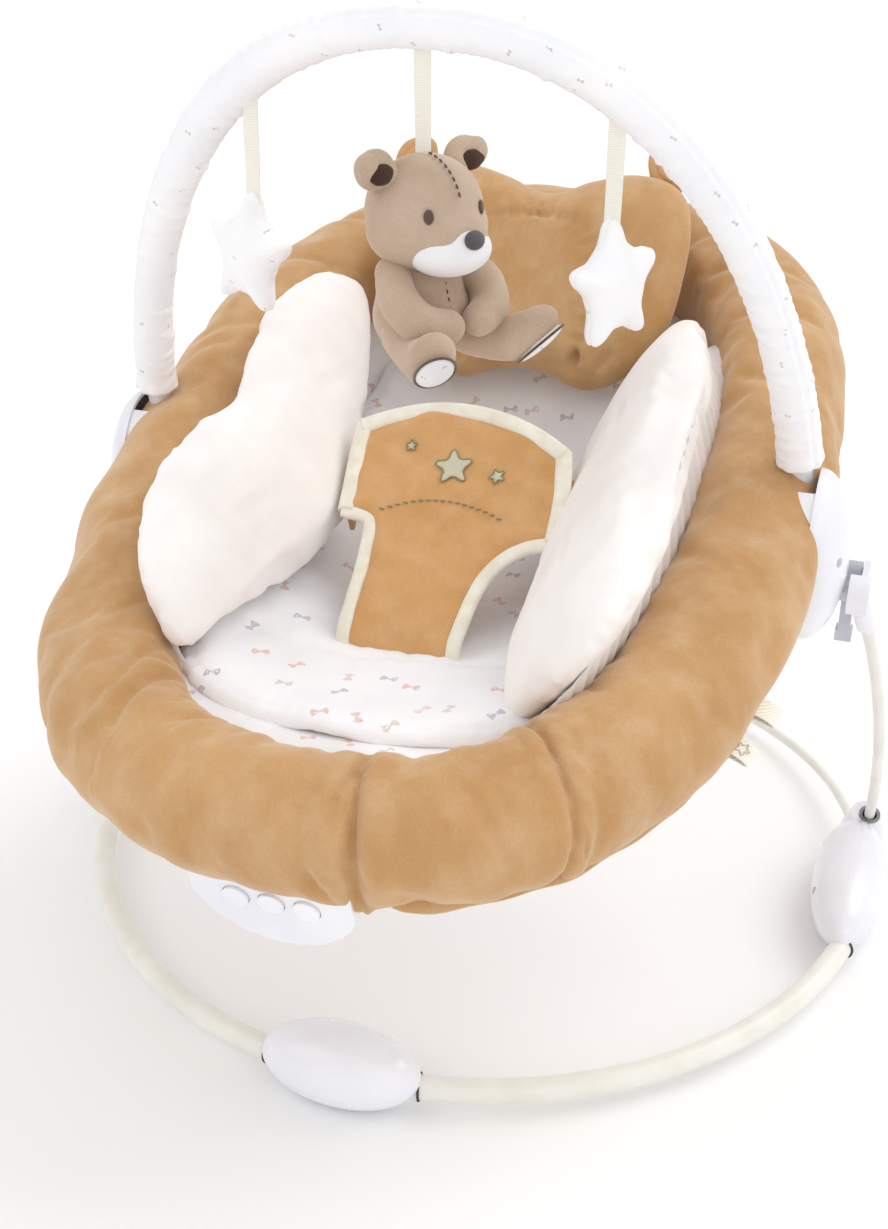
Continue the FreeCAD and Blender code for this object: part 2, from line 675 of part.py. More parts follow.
def release_button():
    """Push button on the front edge of the hub that frees the play arch."""
    x0, x1 = RELEASE_X, RELEASE_X + RELEASE_W
    z0, z1 = RELEASE_Z - RELEASE_HALF_H, RELEASE_Z + RELEASE_HALF_H
    cap = box(x0, x1, RELEASE_Y - 4.0, RELEASE_Y + 9.0, z0, z1)
    cap = cap.makeFillet(2.0, cap.Edges)
    flange = box(x0 - 1.5, x1 + 1.5, RELEASE_Y + 7.0, RELEASE_Y + 9.0, z0 - 2, z1 + 2)
    return cap.fuse(flange).removeSplitter()


def release_room():
    """Opening for the release button, with room behind it to be pushed in."""
    gap = RELEASE_GAP
    x0, x1 = RELEASE_X - gap, RELEASE_X + RELEASE_W + gap
    z0, z1 = RELEASE_Z - RELEASE_HALF_H - gap, RELEASE_Z + RELEASE_HALF_H + gap
    room = box(x0, x1, RELEASE_Y - 12, RELEASE_Y + 8, z0, z1)
    flange_room = (RELEASE_Y + 7.0 - gap, RELEASE_Y + 9.0 + gap + RELEASE_TRAVEL)
    back = box(x0 - 1.5, x1 + 1.5, *flange_room, z0 - 2, z1 + 2)
    return room.fuse(back)


def build_hubs():
    export("seat_tube_front", placed(seat_tube(True), SEAT))
    export("seat_tube_rear", placed(seat_tube(False), SEAT))
    export("seat_brackets", *pair(largest(seat_bracket())))
    export("hub_inner_housings", *pair(hub_inner()))
    export("hub_outer_covers", *pair(hub_outer()))
    screws = hub_screw_set()
    export("hub_screws", *screws, *[mirrored(screw) for screw in screws])
    for name, side in SIDES.items():
        export("arch_release_" + name, on_side(release_button(), side))


# ---------------------------------------------------------------- seat soft goods

def bowl_height(w, u, drop=0.0):
    """Height of the seat bowl's underside fabric in the seat plane's frame."""
    along = 1 - abs((u - BOWL_DEEPEST) / BOWL_HALF_L) ** 1.45
    across = 1 - min(1.0, abs(w) / BOWL_HALF_W) ** 2.4
    return -BOWL_DEPTH * along * across - drop


def bowl_slab(lift, thickness, half_w, half_l, end_r):
    """Curved pad that follows the bowl, with the oval outline."""
    columns, rows = 14, 20
    reach_w, reach_l = BOWL_HALF_W - 0.5, RIM_HALF_L - RIM_R + 4
    grid = []
    for i in range(columns + 1):
        w = reach_w * (2 * i / columns - 1)
        line = []
        for j in range(rows + 1):
            u = reach_l * (2 * j / rows - 1)
            line.append(V(w, u, bowl_height(w, u) + lift))
        grid.append(line)
    surface = Part.BSplineSurface()
    surface.interpolate(grid)
    slab = surface.toShape().extrude(V(0, 0, thickness))
    slab = slab if slab.Volume > 0 else slab.reversed()
    return slab.common(oval_prism(half_w, half_l, end_r, -200, 200))


def rim_pockets():
    """Room pressed into the padded rim beside the right hub, and above it for the arch's cover."""
    along = (SEAT_Y - 62, SEAT_Y + 60)
    reach = BRACKET_HALF_L + 1
    bracket_room = box(BRACKET_X - 4, 260, -reach, reach, -BRACKET_HALF_T - 1, BRACKET_HALF_T + 1)
    return (
        box(RIM_POCKET_X, 300, *along, 230, 460),
        box(ARCH_POCKET_X, 300, *along, ARCH_POCKET_Z, 460),
        placed(bracket_room, SEAT),
    )


def rim_clearance():
    return oval_tube(RIM_R + SOFT_GAP, RIM_HALF_W, RIM_HALF_L, RIM_END_R)


def rim_cushion():
    """Padded rim, hollow for the frame tube, opened beside the hubs and over the module's clips."""
    rim = oval_tube(RIM_R, RIM_HALF_W, RIM_HALF_L, RIM_END_R)
    bore = oval_tube(FRAME_TUBE_R + SOFT_GAP, RIM_HALF_W, RIM_HALF_L, RIM_END_R)
    rim = placed(rim.cut(bore), SEAT)
    for side in SIDES.values():
        for room in rim_pockets():
            rim = rim.cut(on_side(room, side))
    for x in MODULE_CLIPS:
        rim = rim.cut(placed(box(x - 7, x + 7, -322, -293, -60, 13), SEAT))
    room = module_solid(MODULE_HALF_W + SOFT_GAP, SOFT_GAP)
    return largest(rim.cut(placed(room, SEAT)))


def bolster(liner, rim):
    egg = ellipsoid((0, 0, 0), BOLSTER_SEMI)
    place = FreeCAD.Placement(V(*BOLSTER_CENTRE), FreeCAD.Rotation(Y_AXIS, -BOLSTER_RISE))
    return largest(placed(egg, place).cut(liner).cut(rim))


def head_place():
    turn = FreeCAD.Rotation(X_AXIS, HEAD_RISE)
    base = V(0, HEAD_U, HEAD_N) - turn.multVec(V(0, 0, HEAD_T))
    return FreeCAD.Placement(base, turn)


def headrest(liner, rim):
    pillow = placed(outline_prism(with_mirror(HEAD_HALF_OUTLINE), HEAD_T), head_place())
    return largest(pillow.cut(liner).cut(rim))


def headrest_ear():
    """Round ear that stands up from the pillow's top corner."""
    disc = Part.makeCylinder(EAR_R, EAR_T, V(*EAR_AT, (HEAD_T - EAR_T) / 2), Z_AXIS)
    return placed(largest(disc.cut(outline_prism(with_mirror(HEAD_HALF_OUTLINE), HEAD_T))), head_place())


def harness_place():
    return FreeCAD.Placement(V(0, HARNESS_U, HARNESS_N), FreeCAD.Rotation(X_AXIS, HARNESS_RISE))


def harness():
    return placed(outline_prism(with_mirror(HARNESS_HALF_OUTLINE), HARNESS_T), harness_place())


def waist_band(panel, liner):
    """Padded band from the harness down to the liner on the right."""
    upright_turn = FreeCAD.Rotation(X_AXIS, 90)
    band = placed(outline_prism(BAND_OUTLINE, BAND_W), FreeCAD.Placement(V(0, 4, 0), upright_turn))
    return largest(band.cut(panel).cut(liner))


def build_soft_goods():
    inner_w = RIM_HALF_W - RIM_R
    inner_l = RIM_HALF_L - RIM_R
    inner_r = RIM_END_R - RIM_R
    rim_room = rim_clearance()
    under_liner = SLING_T + SOFT_GAP
    below = bowl_slab(-60.0, 60.0 + under_liner, inner_w + 5, inner_l + 3, inner_r)
    sling = bowl_slab(0.0, SLING_T, inner_w + SLING_HEM, inner_l + SLING_HEM - 8, inner_r + SLING_HEM / 2)
    sling = sling.cut(rim_room)
    liner_end = inner_l - 10 - LINER_INSET
    liner = bowl_slab(under_liner, LINER_T, inner_w - LINER_INSET, liner_end, inner_r - LINER_INSET)
    slot = box(-HARNESS_SLOT_HALF_W, HARNESS_SLOT_HALF_W, -12, SOFT_GAP, -30, 30)
    liner = liner.cut(rim_room).cut(placed(slot, harness_place()))
    export("seat_sling", placed(largest(sling), SEAT))
    export("liner_pad", placed(largest(liner), SEAT))
    export("rim_cushion", rim_cushion())
    packed = liner.fuse(below)
    bolster_solid = largest(bolster(packed, rim_room).cut(sling))
    ear = headrest_ear()
    panel = harness().cut(liner)
    band = waist_band(panel, packed)
    for name, side in SIDES.items():
        export("bolster_" + name, placed(on_side(bolster_solid, side), SEAT))
    export("headrest_ears", *[placed(piece, SEAT) for piece in pair(ear)])
    export("waist_bands", *[placed(piece, SEAT) for piece in pair(band)])
    export("headrest_pillow", placed(headrest(packed, rim_room), SEAT))
    export("harness_panel", placed(largest(panel), SEAT))
    export("side_tags", *[placed(tag, SEAT) for tag in side_tags(rim_room)])


def side_tags(rim_room):
    """Two small folded ribbon tags sewn to the underside seam of the rim, on the right."""
    tags = []
    for w, u, turn in TAGS:
        tag = box(0, TAG_L, -TAG_HALF_W, TAG_HALF_W, -1.0, 1.0)
        place = FreeCAD.Placement(V(w, u, TAG_N), FreeCAD.Rotation(turn, TAG_DROOP, 0))
        tags.append(largest(placed(tag, place).cut(rim_room)))
    return tags


# ---------------------------------------------------------------- control module

def module_outline(half_w, top, low):
    """Half-moon: straight sides that run into one wide arc below."""
    shoulder = MODULE_TOP - 22
    return [
        [(-half_w, top), (half_w, top)],
        [(half_w, top), (half_w, shoulder)],
        [(half_w, shoulder), (0, low), (-half_w, shoulder)],
        [(-half_w, shoulder), (-half_w, top)],
    ]


def module_solid(half_w, grow):
    """The module's outer block, standing with its face towards the front."""
    outline = module_outline(half_w, MODULE_TOP + grow, MODULE_LOW - grow)
    block = outline_prism(outline, MODULE_DEPTH + 2 * grow)
    turn = FreeCAD.Rotation(X_AXIS, 90)
    return placed(block, FreeCAD.Placement(V(0, MODULE_FACE + MODULE_DEPTH + grow, 0), turn))


def module_shell():
    """Front shell, open at the back."""
    cavity = module_solid(MODULE_HALF_W - MODULE_WALL, -MODULE_WALL)
    back_open = box(-80, 80, MODULE_BACK - 2 * MODULE_WALL, MODULE_BACK + 5, -100, 40)
    shell = module_solid(MODULE_HALF_W, 0).cut(cavity).cut(back_open)
    for x in BUTTON_X:
        shell = shell.cut(button_room(x))
    return largest(shell)


def button(x):
    """Round push button with a flange that keeps it in."""
    inner_end = (x, MODULE_FACE + BUTTON_DEPTH, BUTTON_N)
    cap = cylinder(BUTTON_R, (x, MODULE_FACE - BUTTON_PROUD, BUTTON_N), inner_end)
    flange_start = (x, MODULE_FACE + MODULE_WALL + 0.2, BUTTON_N)
    return cap.fuse(cylinder(BUTTON_R + BUTTON_FLANGE, flange_start, inner_end)).removeSplitter()


def button_room(x):
    return cylinder(BUTTON_R + BUTTON_GAP, (x, MODULE_FACE - 5, BUTTON_N), (x, MODULE_FACE + 6, BUTTON_N))


def module_back():
    """Back cover with the battery bay's opening."""
    slice_room = box(-80, 80, MODULE_BACK - 2 * MODULE_WALL, MODULE_BACK, -100, 40)
    plate = module_solid(MODULE_HALF_W, 0).common(slice_room)
    return plate.cut(door_block(DOOR_GAP)).cut(door_screw())


def door_block(gap):
    half_w = DOOR_HALF_W + gap
    inner = MODULE_BACK - 2 * MODULE_WALL - 1
    return box(-half_w, half_w, inner, MODULE_BACK + 1, DOOR_LOW - gap, DOOR_TOP + gap)


def door_screw():
    x, n = DOOR_SCREW
    seat = (x, MODULE_BACK - 1.2, n)
    head = cylinder(2 * DOOR_SCREW_R, seat, (x, MODULE_BACK, n))
    return head.fuse(cylinder(DOOR_SCREW_R, (x, MODULE_BACK - 9.0, n), seat))


def battery_door():
    return door_block(0).common(box(-80, 80, MODULE_BACK - MODULE_WALL, MODULE_BACK, -100, 40))


def module_electronics():
    """Board, cells, vibration motor and speaker inside the module."""
    board = box(-37, 37, MODULE_FACE + 7.5, MODULE_FACE + 9.1, -43, -19)
    cells = []
    for back in CELL_BACK:
        u = MODULE_BACK - back
        cells.append(cylinder(CELL_R, (-CELL_L / 2, u, CELL_N), (CELL_L / 2, u, CELL_N)))
    motor = cylinder(5.0, (20.0, MODULE_FACE + 18, -31), (34.0, MODULE_FACE + 18, -31))
    cone = cylinder(9.0, (-28.0, MODULE_FACE + 10.5, -29.0), (-28.0, MODULE_FACE + 14.0, -29.0))
    magnet = cylinder(5.0, (-28.0, MODULE_FACE + 14.0, -29.0), (-28.0, MODULE_FACE + 18.0, -29.0))
    return board, cells, motor, cone.fuse(magnet)


def module_clip(x, tube):
    """Ring that holds the module to the seat's front tube."""
    post = box(x - 6, x + 6, MODULE_TUBE_U - 11, MODULE_TUBE_U + 7, MODULE_TOP, 0)
    ring = cylinder(FRAME_TUBE_R + 3, (x - 6, MODULE_TUBE_U, 0), (x + 6, MODULE_TUBE_U, 0))
    return largest(post.fuse(ring).cut(tube))


def build_module():
    export("module_shell", placed(module_shell(), SEAT))
    export("module_back", placed(largest(module_back()), SEAT))
    export("battery_door", placed(battery_door(), SEAT))
    export("battery_door_screw", placed(door_screw(), SEAT))
    for place, x in zip(("left", "middle", "right"), BUTTON_X):
        export("control_button_" + place, placed(button(x), SEAT))
    board, cells, motor, speaker = module_electronics()
    export("circuit_board", placed(board, SEAT))
    export("battery_cells", *[placed(cell, SEAT) for cell in cells])
    export("vibration_motor", placed(motor, SEAT))
    export("speaker", placed(speaker, SEAT))
    front_arc = oval_arcs(RIM_HALF_W, RIM_HALF_L, RIM_END_R)[0]
    tube = arc_tube(FRAME_TUBE_R, *front_arc)
    tube = tube.fuse(mirrored(tube))
    export("module_clips", *[placed(module_clip(x, tube), SEAT) for x in MODULE_CLIPS])


# ---------------------------------------------------------------- play arch and toys

def arch_arcs():
    """Arcs of the arch's right half, in its own plane (x across, y up)."""
    side_r = oval_side_radius(ARCH_HALF_W, ARCH_HEIGHT, ARCH_TOP_R)
    reach = ARCH_HEIGHT - ARCH_TOP_R
    turn = math.degrees(math.atan2(reach, side_r - ARCH_HALF_W))
    return side_r, reach, turn


def height_angle(height):
    """Angle on the side arc at a height above the arch's base line."""
    return math.degrees(math.asin(height / arch_arcs()[0]))


def arch_bar(radius, from_height):
    """Round bar along the whole arch, both legs starting at a height above the base line."""
    side_r, reach, turn = arch_arcs()
    side = arc_tube(radius, (ARCH_HALF_W - side_r, 0), side_r, height_angle(from_height), turn)
    top = arc_tube(radius, (0, reach), ARCH_TOP_R, turn, 90)
    pieces = [side, top, mirrored(side), mirrored(top)]
    bar = pieces[0].fuse(pieces[1:]).removeSplitter()
    return upright_arch(bar)


def upright_arch(shape):
    """From the arch's flat drawing (y up) to its leaning plane."""
    stand = FreeCAD.Placement(V(0, 0, 0), FreeCAD.Rotation(X_AXIS, 90))
    return placed(placed(shape, stand), ARCH)


def arch_point(x):
    """Centreline point and tangent of the arch's top arc at a distance across."""
    reach = ARCH_HEIGHT - ARCH_TOP_R
    angle = math.acos(x / ARCH_TOP_R)
    height = reach + ARCH_TOP_R * math.sin(angle)
    lean = math.radians(ARCH_LEAN)
    point = V(x, ARCH_BASE_Y - height * math.sin(lean), ARCH_BASE_Z + height * math.cos(lean))
    flat = V(-math.sin(angle), math.cos(angle), 0)
    tangent = V(flat.x, -flat.y * math.sin(lean), flat.y * math.cos(lean))
    return point, tangent


def arch_foot():
    """White end plug on the right: turns on the hub's pin and holds the tube."""
    y, z = arch_pivot()
    eye = cylinder(8.5, (220.5, y, z), (235.5, y, z))
    side_r = arch_arcs()[0]
    leg = arc_tube(ARCH_TUBE_R + 0.6, (ARCH_HALF_W - side_r, 0), side_r,
                   height_angle(ARCH_PIVOT_H), height_angle(ARCH_COVER_H + 16))
    foot = eye.fuse(upright_arch(leg))
    foot = foot.cut(arch_bar(ARCH_TUBE_R - 1.0, ARCH_PIVOT_H + ARCH_PLUG_L))
    return foot.cut(cylinder(ARCH_PIN_R + RUN_GAP, (210, y, z), (240, y, z)))


def strap_loop(x, low_z):
    """Ribbon that wraps the arch and hangs straight down to a toy."""
    point, tangent = arch_point(x)
    outer_r = ARCH_COVER_R + MOVE_GAP + STRAP_T
    start = point - tangent * (STRAP_W / 2)
    ring = Part.makeCylinder(outer_r, STRAP_W, start, tangent)
    ring = ring.cut(Part.makeCylinder(ARCH_COVER_R + MOVE_GAP, STRAP_W, start, tangent))
    tail = box(x - STRAP_W / 2, x + STRAP_W / 2, point.y - STRAP_T, point.y + STRAP_T, low_z, point.z)
    hole = Part.makeCylinder(outer_r - STRAP_T / 2, 80, point - tangent * 40, tangent)
    return ring.fuse(largest_below(tail.cut(hole)))


def largest_below(shape):
    return min(shape.Solids, key=lambda solid: solid.BoundBox.ZMin)


def star(x, top_z, y, turn):
    """Puffy five-point star hanging from its top point."""
    points = []
    for k in range(10):
        radius = STAR_R if k % 2 == 0 else STAR_R * STAR_WAIST
        angle = math.radians(90 + 36 * k)
        points.append(V(radius * math.cos(angle), radius * math.sin(angle), -STAR_T / 2))
    wire = Part.makePolygon(points + [points[0]])
    plate = Part.Face(wire).extrude(V(0, 0, STAR_T))
    uprights = [edge for edge in plate.Edges if abs(edge.tangentAt(edge.FirstParameter).z) > 0.9]
    tips = [edge for edge in uprights if math.hypot(edge.Vertexes[0].X, edge.Vertexes[0].Y) > STAR_R - 1]
    plate = plate.makeFillet(STAR_EDGE, tips)
    flat = [edge for edge in plate.Edges if abs(abs(edge.CenterOfMass.z) - STAR_T / 2) < 0.1]
    plate = plate.makeChamfer(STAR_EDGE, flat)
    top = max(vertex.Y for vertex in plate.Vertexes)
    rotation = FreeCAD.Rotation(X_AXIS, 90).multiply(FreeCAD.Rotation(Y_AXIS, turn))
    return placed(plate, FreeCAD.Placement(V(x, y, top_z - top), rotation))


def capsule(radius, start, end):
    """Round-ended bar between two points."""
    ends = [Part.makeSphere(radius, V(*point)) for point in (start, end)]
    return cylinder(radius, start, end).fuse(ends).removeSplitter()


def bear(y):
    """Soft bear hanging from its head, legs forward: head with ears, body, arms and legs."""
    top = BEAR_TOP_Z
    head = Part.makeSphere(BEAR_HEAD_R, V(4, y, top - 30))
    head = head.fuse(Part.makeSphere(BEAR_MUZZLE_R, V(13, y - 19, top - 38)))
    ears = []
    for x in BEAR_EARS_X:
        ear = Part.makeCylinder(BEAR_EAR_R, 10.0, V(x, y + 8, top - 8), V(0, -1, 0))
        ears.append(ear.makeFillet(3.0, ear.Edges[:1]).cut(head))
    body = capsule(BEAR_BODY_R, (0, y + 3, top - 79), (0, y + 3, top - 89)).cut(head)
    arms, legs = [], []
    for side in (-1, 1):
        shoulder = (side * 25 + 2, y - 4, top - 68)
        hand = (side * 15 + 2, y - 27, top - 92)
        arms.append(capsule(BEAR_ARM_R, shoulder, hand).cut(head).cut(body))
        hip = (side * 15, y - 6, top - 108)
        foot = (side * 30 + 6, y - 46, top - 104)
        legs.append(capsule(BEAR_LEG_R, hip, foot).cut(body).cut(arms[-1]))
    arms[1] = arms[1].cut(arms[0])
    legs[1] = legs[1].cut(legs[0])
    return head, ears, body, arms, legs


def build_arch_and_toys():
    export("arch_feet", *pair(largest(arch_foot())))
    export("arch_tube", arch_bar(ARCH_TUBE_R - 1.0, ARCH_PIVOT_H + ARCH_PLUG_L))
    cover = arch_bar(ARCH_COVER_R, ARCH_COVER_H).cut(arch_bar(ARCH_TUBE_R + 0.9, ARCH_COVER_H - 4))
    export("arch_cover", cover)
    for name, side in SIDES.items():
        point = arch_point(STAR_X)[0]
        plush = star(STAR_X, STAR_TOP_Z - 0.2, point.y, STAR_TURN)
        strap = strap_loop(STAR_X, STAR_TOP_Z - 6).cut(plush)
        export("star_strap_" + name, on_side(largest(strap), side))
        export("star_" + name, on_side(plush, side))
    centre = arch_point(0.001)[0]
    head, ears, body, arms, legs = bear(centre.y)
    export("bear_strap", strap_loop(0.001, BEAR_TOP_Z + 0.2))
    export("bear_head", head, *[largest(ear) for ear in ears])
    export("bear_body", largest(body))
    export("bear_arms", *[largest(arm) for arm in arms])
    export("bear_legs", *[largest(leg) for leg in legs])


build_base()
build_uprights()
build_hubs()
build_soft_goods()
build_module()
build_arch_and_toys()
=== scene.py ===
"""Baby bouncer seat on its CAD frame, with velour roll, liner, bolsters, headrest, harness and toy arch."""

import json
import math

import bpy
import numpy as np
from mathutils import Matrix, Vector
from mathutils.bvhtree import BVHTree


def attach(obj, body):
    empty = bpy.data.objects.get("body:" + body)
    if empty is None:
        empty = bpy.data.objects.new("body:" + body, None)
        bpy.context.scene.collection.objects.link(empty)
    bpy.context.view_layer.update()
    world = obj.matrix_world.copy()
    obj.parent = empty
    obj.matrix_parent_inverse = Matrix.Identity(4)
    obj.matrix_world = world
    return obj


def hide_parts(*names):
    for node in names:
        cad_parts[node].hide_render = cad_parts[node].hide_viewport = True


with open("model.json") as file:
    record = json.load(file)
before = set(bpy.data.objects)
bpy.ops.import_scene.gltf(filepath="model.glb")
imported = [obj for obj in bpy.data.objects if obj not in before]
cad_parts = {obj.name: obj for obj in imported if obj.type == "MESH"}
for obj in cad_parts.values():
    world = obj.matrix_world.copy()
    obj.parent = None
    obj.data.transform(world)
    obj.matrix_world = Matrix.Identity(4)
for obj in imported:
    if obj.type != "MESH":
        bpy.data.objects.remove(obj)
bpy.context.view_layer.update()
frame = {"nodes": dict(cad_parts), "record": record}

# Lengths are in millimetres up to the moment a mesh is made
MM = 0.001
SEAT_Y = -14.3
SEAT_Z = 342.5
SEAT_TILT = math.radians(16.1)
BOWL_DEPTH = 98.0
BOWL_DEEPEST = 10.0
BOWL_HALF_L = 272.0
BOWL_HALF_W = 164.0
ROLL_R = 42.0
ROLL_HALF_W = 200.5
ROLL_HALF_L = 296.6
ARCH_HALF_W = 228.5
ARCH_HEIGHT = 345.0
ARCH_LEAN = math.radians(14.74)
ARCH_BASE = (3.0, 301.0)
COVER_R = 14.5
COVER_LOW = 381.0
TOY_Y = -85.0
BEAR_TURN = math.radians(60)
STAR_X = 111.0
STAR_TOP = 531.0
BEAR_TOP = 562.0
RIBBON_WIDTH = 10.2
BEAR_RIBBON_WIDTH = 10.4
LOOP_R = 300.0
LOOP_Y = 47.0
LOOP_Z = 18.0
FLOOR_HALF = 9000.0
SIDE_NAME = {-1: "left", 1: "right"}
SIDES = (-1, 1)


# ---------------------------------------------------------------- geometry helpers

def seat_point(points):
    """Points given across the seat, up the seat and out of it, in the shared frame."""
    w, u, n = np.atleast_2d(np.asarray(points, float)).T
    sin, cos = math.sin(SEAT_TILT), math.cos(SEAT_TILT)
    return np.stack([w, SEAT_Y + u * cos - n * sin, SEAT_Z + u * sin + n * cos], 1)


def sloped_plane(origin, foot_to_head):
    """Maps (across, up the slope, off the slope) to the shared frame, for a pad on a sloping plane."""
    up = np.array([0.0, *foot_to_head]) / math.hypot(*foot_to_head)
    out = np.array([0.0, -up[2], up[1]])
    base = np.array([0.0, *origin])

    def place(points):
        x, s, n = np.atleast_2d(points).T
        return base + np.outer(x, (1, 0, 0)) + np.outer(s, up) + np.outer(n, out)

    return place


def smooth_step(x):
    x = np.clip(x, 0, 1)
    return x * x * (3 - 2 * x)


def curve_through(points, count, closed=False):
    """Catmull-Rom curve through a few points."""
    p = np.asarray(points, float)
    ends = (p[-1:], p[:2]) if closed else (2 * p[:1] - p[1:2], 2 * p[-1:] - p[-2:-1])
    q = np.vstack([ends[0], p, ends[1]])
    spans = len(p) if closed else len(p) - 1
    t = np.linspace(0, spans, count, endpoint=not closed)
    i = np.minimum(t.astype(int), spans - 1)
    f = (t - i)[:, None]
    a, b, c, d = q[i], q[i + 1], q[i + 2], q[i + 3]
    return 0.5 * (2 * b + (c - a) * f + (2 * a - 5 * b + 4 * c - d) * f**2 + (3 * b - a - 3 * c + d) * f**3)


def with_mirror(half):
    """A half outline that starts and ends on the centre line, closed with its mirror image."""
    return list(half) + [(-x, y) for x, y in reversed(half[1:-1])]


def between_skins(rows, columns):
    """Faces of two grids of the same size, listed one after the other, joined round their border."""
    count, last = rows * columns, (rows - 1) * columns
    grid = lattice(rows, columns)
    border = list(range(columns)) + [i * columns + columns - 1 for i in range(1, rows)]
    border += [last + j for j in range(columns - 2, -1, -1)] + [i * columns for i in range(rows - 2, 0, -1)]
    sides = [(a, count + a, count + b, b) for a, b in zip(border, border[1:] + border[:1])]
    return grid + [tuple(count + i for i in face[::-1]) for face in grid] + sides


def section(centre, radius, angle, side, over):
    """Rings of points round each centre: radius at each angle, between two cross directions."""
    return (centre[:, None] + (radius * np.cos(angle))[..., None] * side[:, None]
            + (radius * np.sin(angle))[..., None] * over[:, None])


def lattice(rows, columns, close_rows=False, close_columns=False):
    """Quads of a grid whose points are listed row by row."""
    faces = []
    for i in range(rows if close_rows else rows - 1):
        for j in range(columns if close_columns else columns - 1):
            k, m = (i + 1) % rows, (j + 1) % columns
            faces.append((i * columns + j, i * columns + m, k * columns + m, k * columns + j))
    return faces


def new_piece(name, points, faces):
    mesh = bpy.data.meshes.new(name)
    mesh.from_pydata([tuple(p) for p in np.asarray(points) * MM], [], faces)
    mesh.validate()
    piece = bpy.data.objects.new(name, mesh)
    bpy.context.scene.collection.objects.link(piece)
    return piece


def coordinates(piece):
    co = np.empty(len(piece.data.vertices) * 3)
    piece.data.vertices.foreach_get("co", co)
    return co.reshape(-1, 3) / MM


def move_to(piece, points):
    piece.data.vertices.foreach_set("co", (np.asarray(points) * MM).ravel())
    piece.data.update()


def normals(piece):
    out = np.empty(len(piece.data.vertices) * 3)
    piece.data.vertices.foreach_get("normal", out)
    return out.reshape(-1, 3)


def apply_modifiers(piece):
    graph = bpy.context.evaluated_depsgraph_get()
    mesh = bpy.data.meshes.new_from_object(piece.evaluated_get(graph))
    old = piece.data
    piece.modifiers.clear()
    piece.data = mesh
    mesh.name = piece.name
    bpy.data.meshes.remove(old)


def outward(piece):
    """Turns every face outward on a closed piece."""
    co = coordinates(piece)
    piece.data.calc_loop_triangles()
    tri = np.array([t.vertices[:] for t in piece.data.loop_triangles])
    a, b, c = co[tri[:, 0]], co[tri[:, 1]], co[tri[:, 2]]
    if np.einsum("ij,ij->i", a, np.cross(b, c)).sum() < 0:
        piece.data.flip_normals()


def modify(piece, kind, **settings):
    modifier = piece.modifiers.new(kind.lower(), kind)
    for name, value in settings.items():
        setattr(modifier, name, value)
    apply_modifiers(piece)


def remesh(piece, voxel):
    modify(piece, "REMESH", mode="VOXEL", voxel_size=voxel * MM)


def relax(piece, rounds):
    modify(piece, "SMOOTH", factor=0.5, iterations=rounds)


def refine(piece):
    modify(piece, "SUBSURF", levels=1, render_levels=1)


def inflate(piece, pressure, cap, frames, held=None, slack=0.0):
    """Blows a closed fabric piece up with a cloth simulation; no point moves further than cap."""
    scene = bpy.context.scene
    before = coordinates(piece)
    cloth = piece.modifiers.new("cloth", "CLOTH")
    settings = cloth.settings
    settings.quality = 5
    settings.mass = 0.3
    settings.tension_stiffness = settings.compression_stiffness = 12
    settings.shear_stiffness = 5
    settings.bending_stiffness = 0.5
    settings.use_pressure = True
    settings.uniform_pressure_force = pressure
    settings.effector_weights.gravity = 0
    settings.shrink_min = -slack
    if held is not None:
        group = piece.vertex_groups.new(name="held")
        group.add([int(i) for i in np.flatnonzero(held)], 1.0, "REPLACE")
        settings.vertex_group_mass = "held"
    cloth.point_cache.frame_start, cloth.point_cache.frame_end = 1, frames
    for step in range(1, frames + 1):
        scene.frame_set(step)
    graph = bpy.context.evaluated_depsgraph_get()
    after = np.array([v.co for v in piece.evaluated_get(graph).data.vertices]) / MM
    piece.modifiers.clear()
    scene.frame_set(1)
    shift = after - before
    length = np.linalg.norm(shift, axis=1, keepdims=True)
    shift *= np.minimum(1, cap / np.maximum(length, 1e-6))
    move_to(piece, before + shift)


def distance_to(points, line, closed=False):
    """Distance from each point to a polyline, and how far along the line the nearest spot is."""
    a = np.asarray(line, float)
    b = np.roll(a, -1, axis=0) if closed else a[1:]
    a = a if closed else a[:-1]
    along = np.concatenate([[0], np.cumsum(np.linalg.norm(b - a, axis=1))])
    best = np.full(len(points), 1e9)
    where = np.zeros(len(points))
    for i, (p, q) in enumerate(zip(a, b)):
        d = q - p
        t = np.clip(((points - p) @ d) / max(d @ d, 1e-9), 0, 1)
        gap = np.linalg.norm(points - p - t[:, None] * d, axis=1)
        near = gap < best
        best[near] = gap[near]
        where[near] = along[i] + t[near] * np.linalg.norm(d)
    return best, where


def sew(piece, line, depth, width, pucker=0.0, pitch=14.0, closed=False):
    """Sinks a seam into a puffy piece along a line, with the little puckers that gather beside it."""
    co = coordinates(piece)
    gap, where = distance_to(co, line, closed)
    groove = np.exp(-(gap / width) ** 2)
    ripple = np.exp(-(gap / (2.6 * width)) ** 2) * (1 - 0.6 * groove)
    wave = np.sin(2 * math.pi * where / pitch) + 0.6 * np.sin(2 * math.pi * where / (0.61 * pitch) + 1.3)
    move_to(piece, co + normals(piece) * (pucker * ripple * wave - depth * groove)[:, None])


def lumps(points, pitch, seed):
    """Smooth unevenness from -1 to 1, the same on every run."""
    rng = np.random.default_rng(seed)
    total = np.zeros(len(points))
    for _ in range(7):
        direction = rng.normal(size=3)
        direction *= 2 * math.pi / (pitch * np.linalg.norm(direction))
        total += np.sin(points @ direction + rng.uniform(0, 6.28))
    return total / 3.5


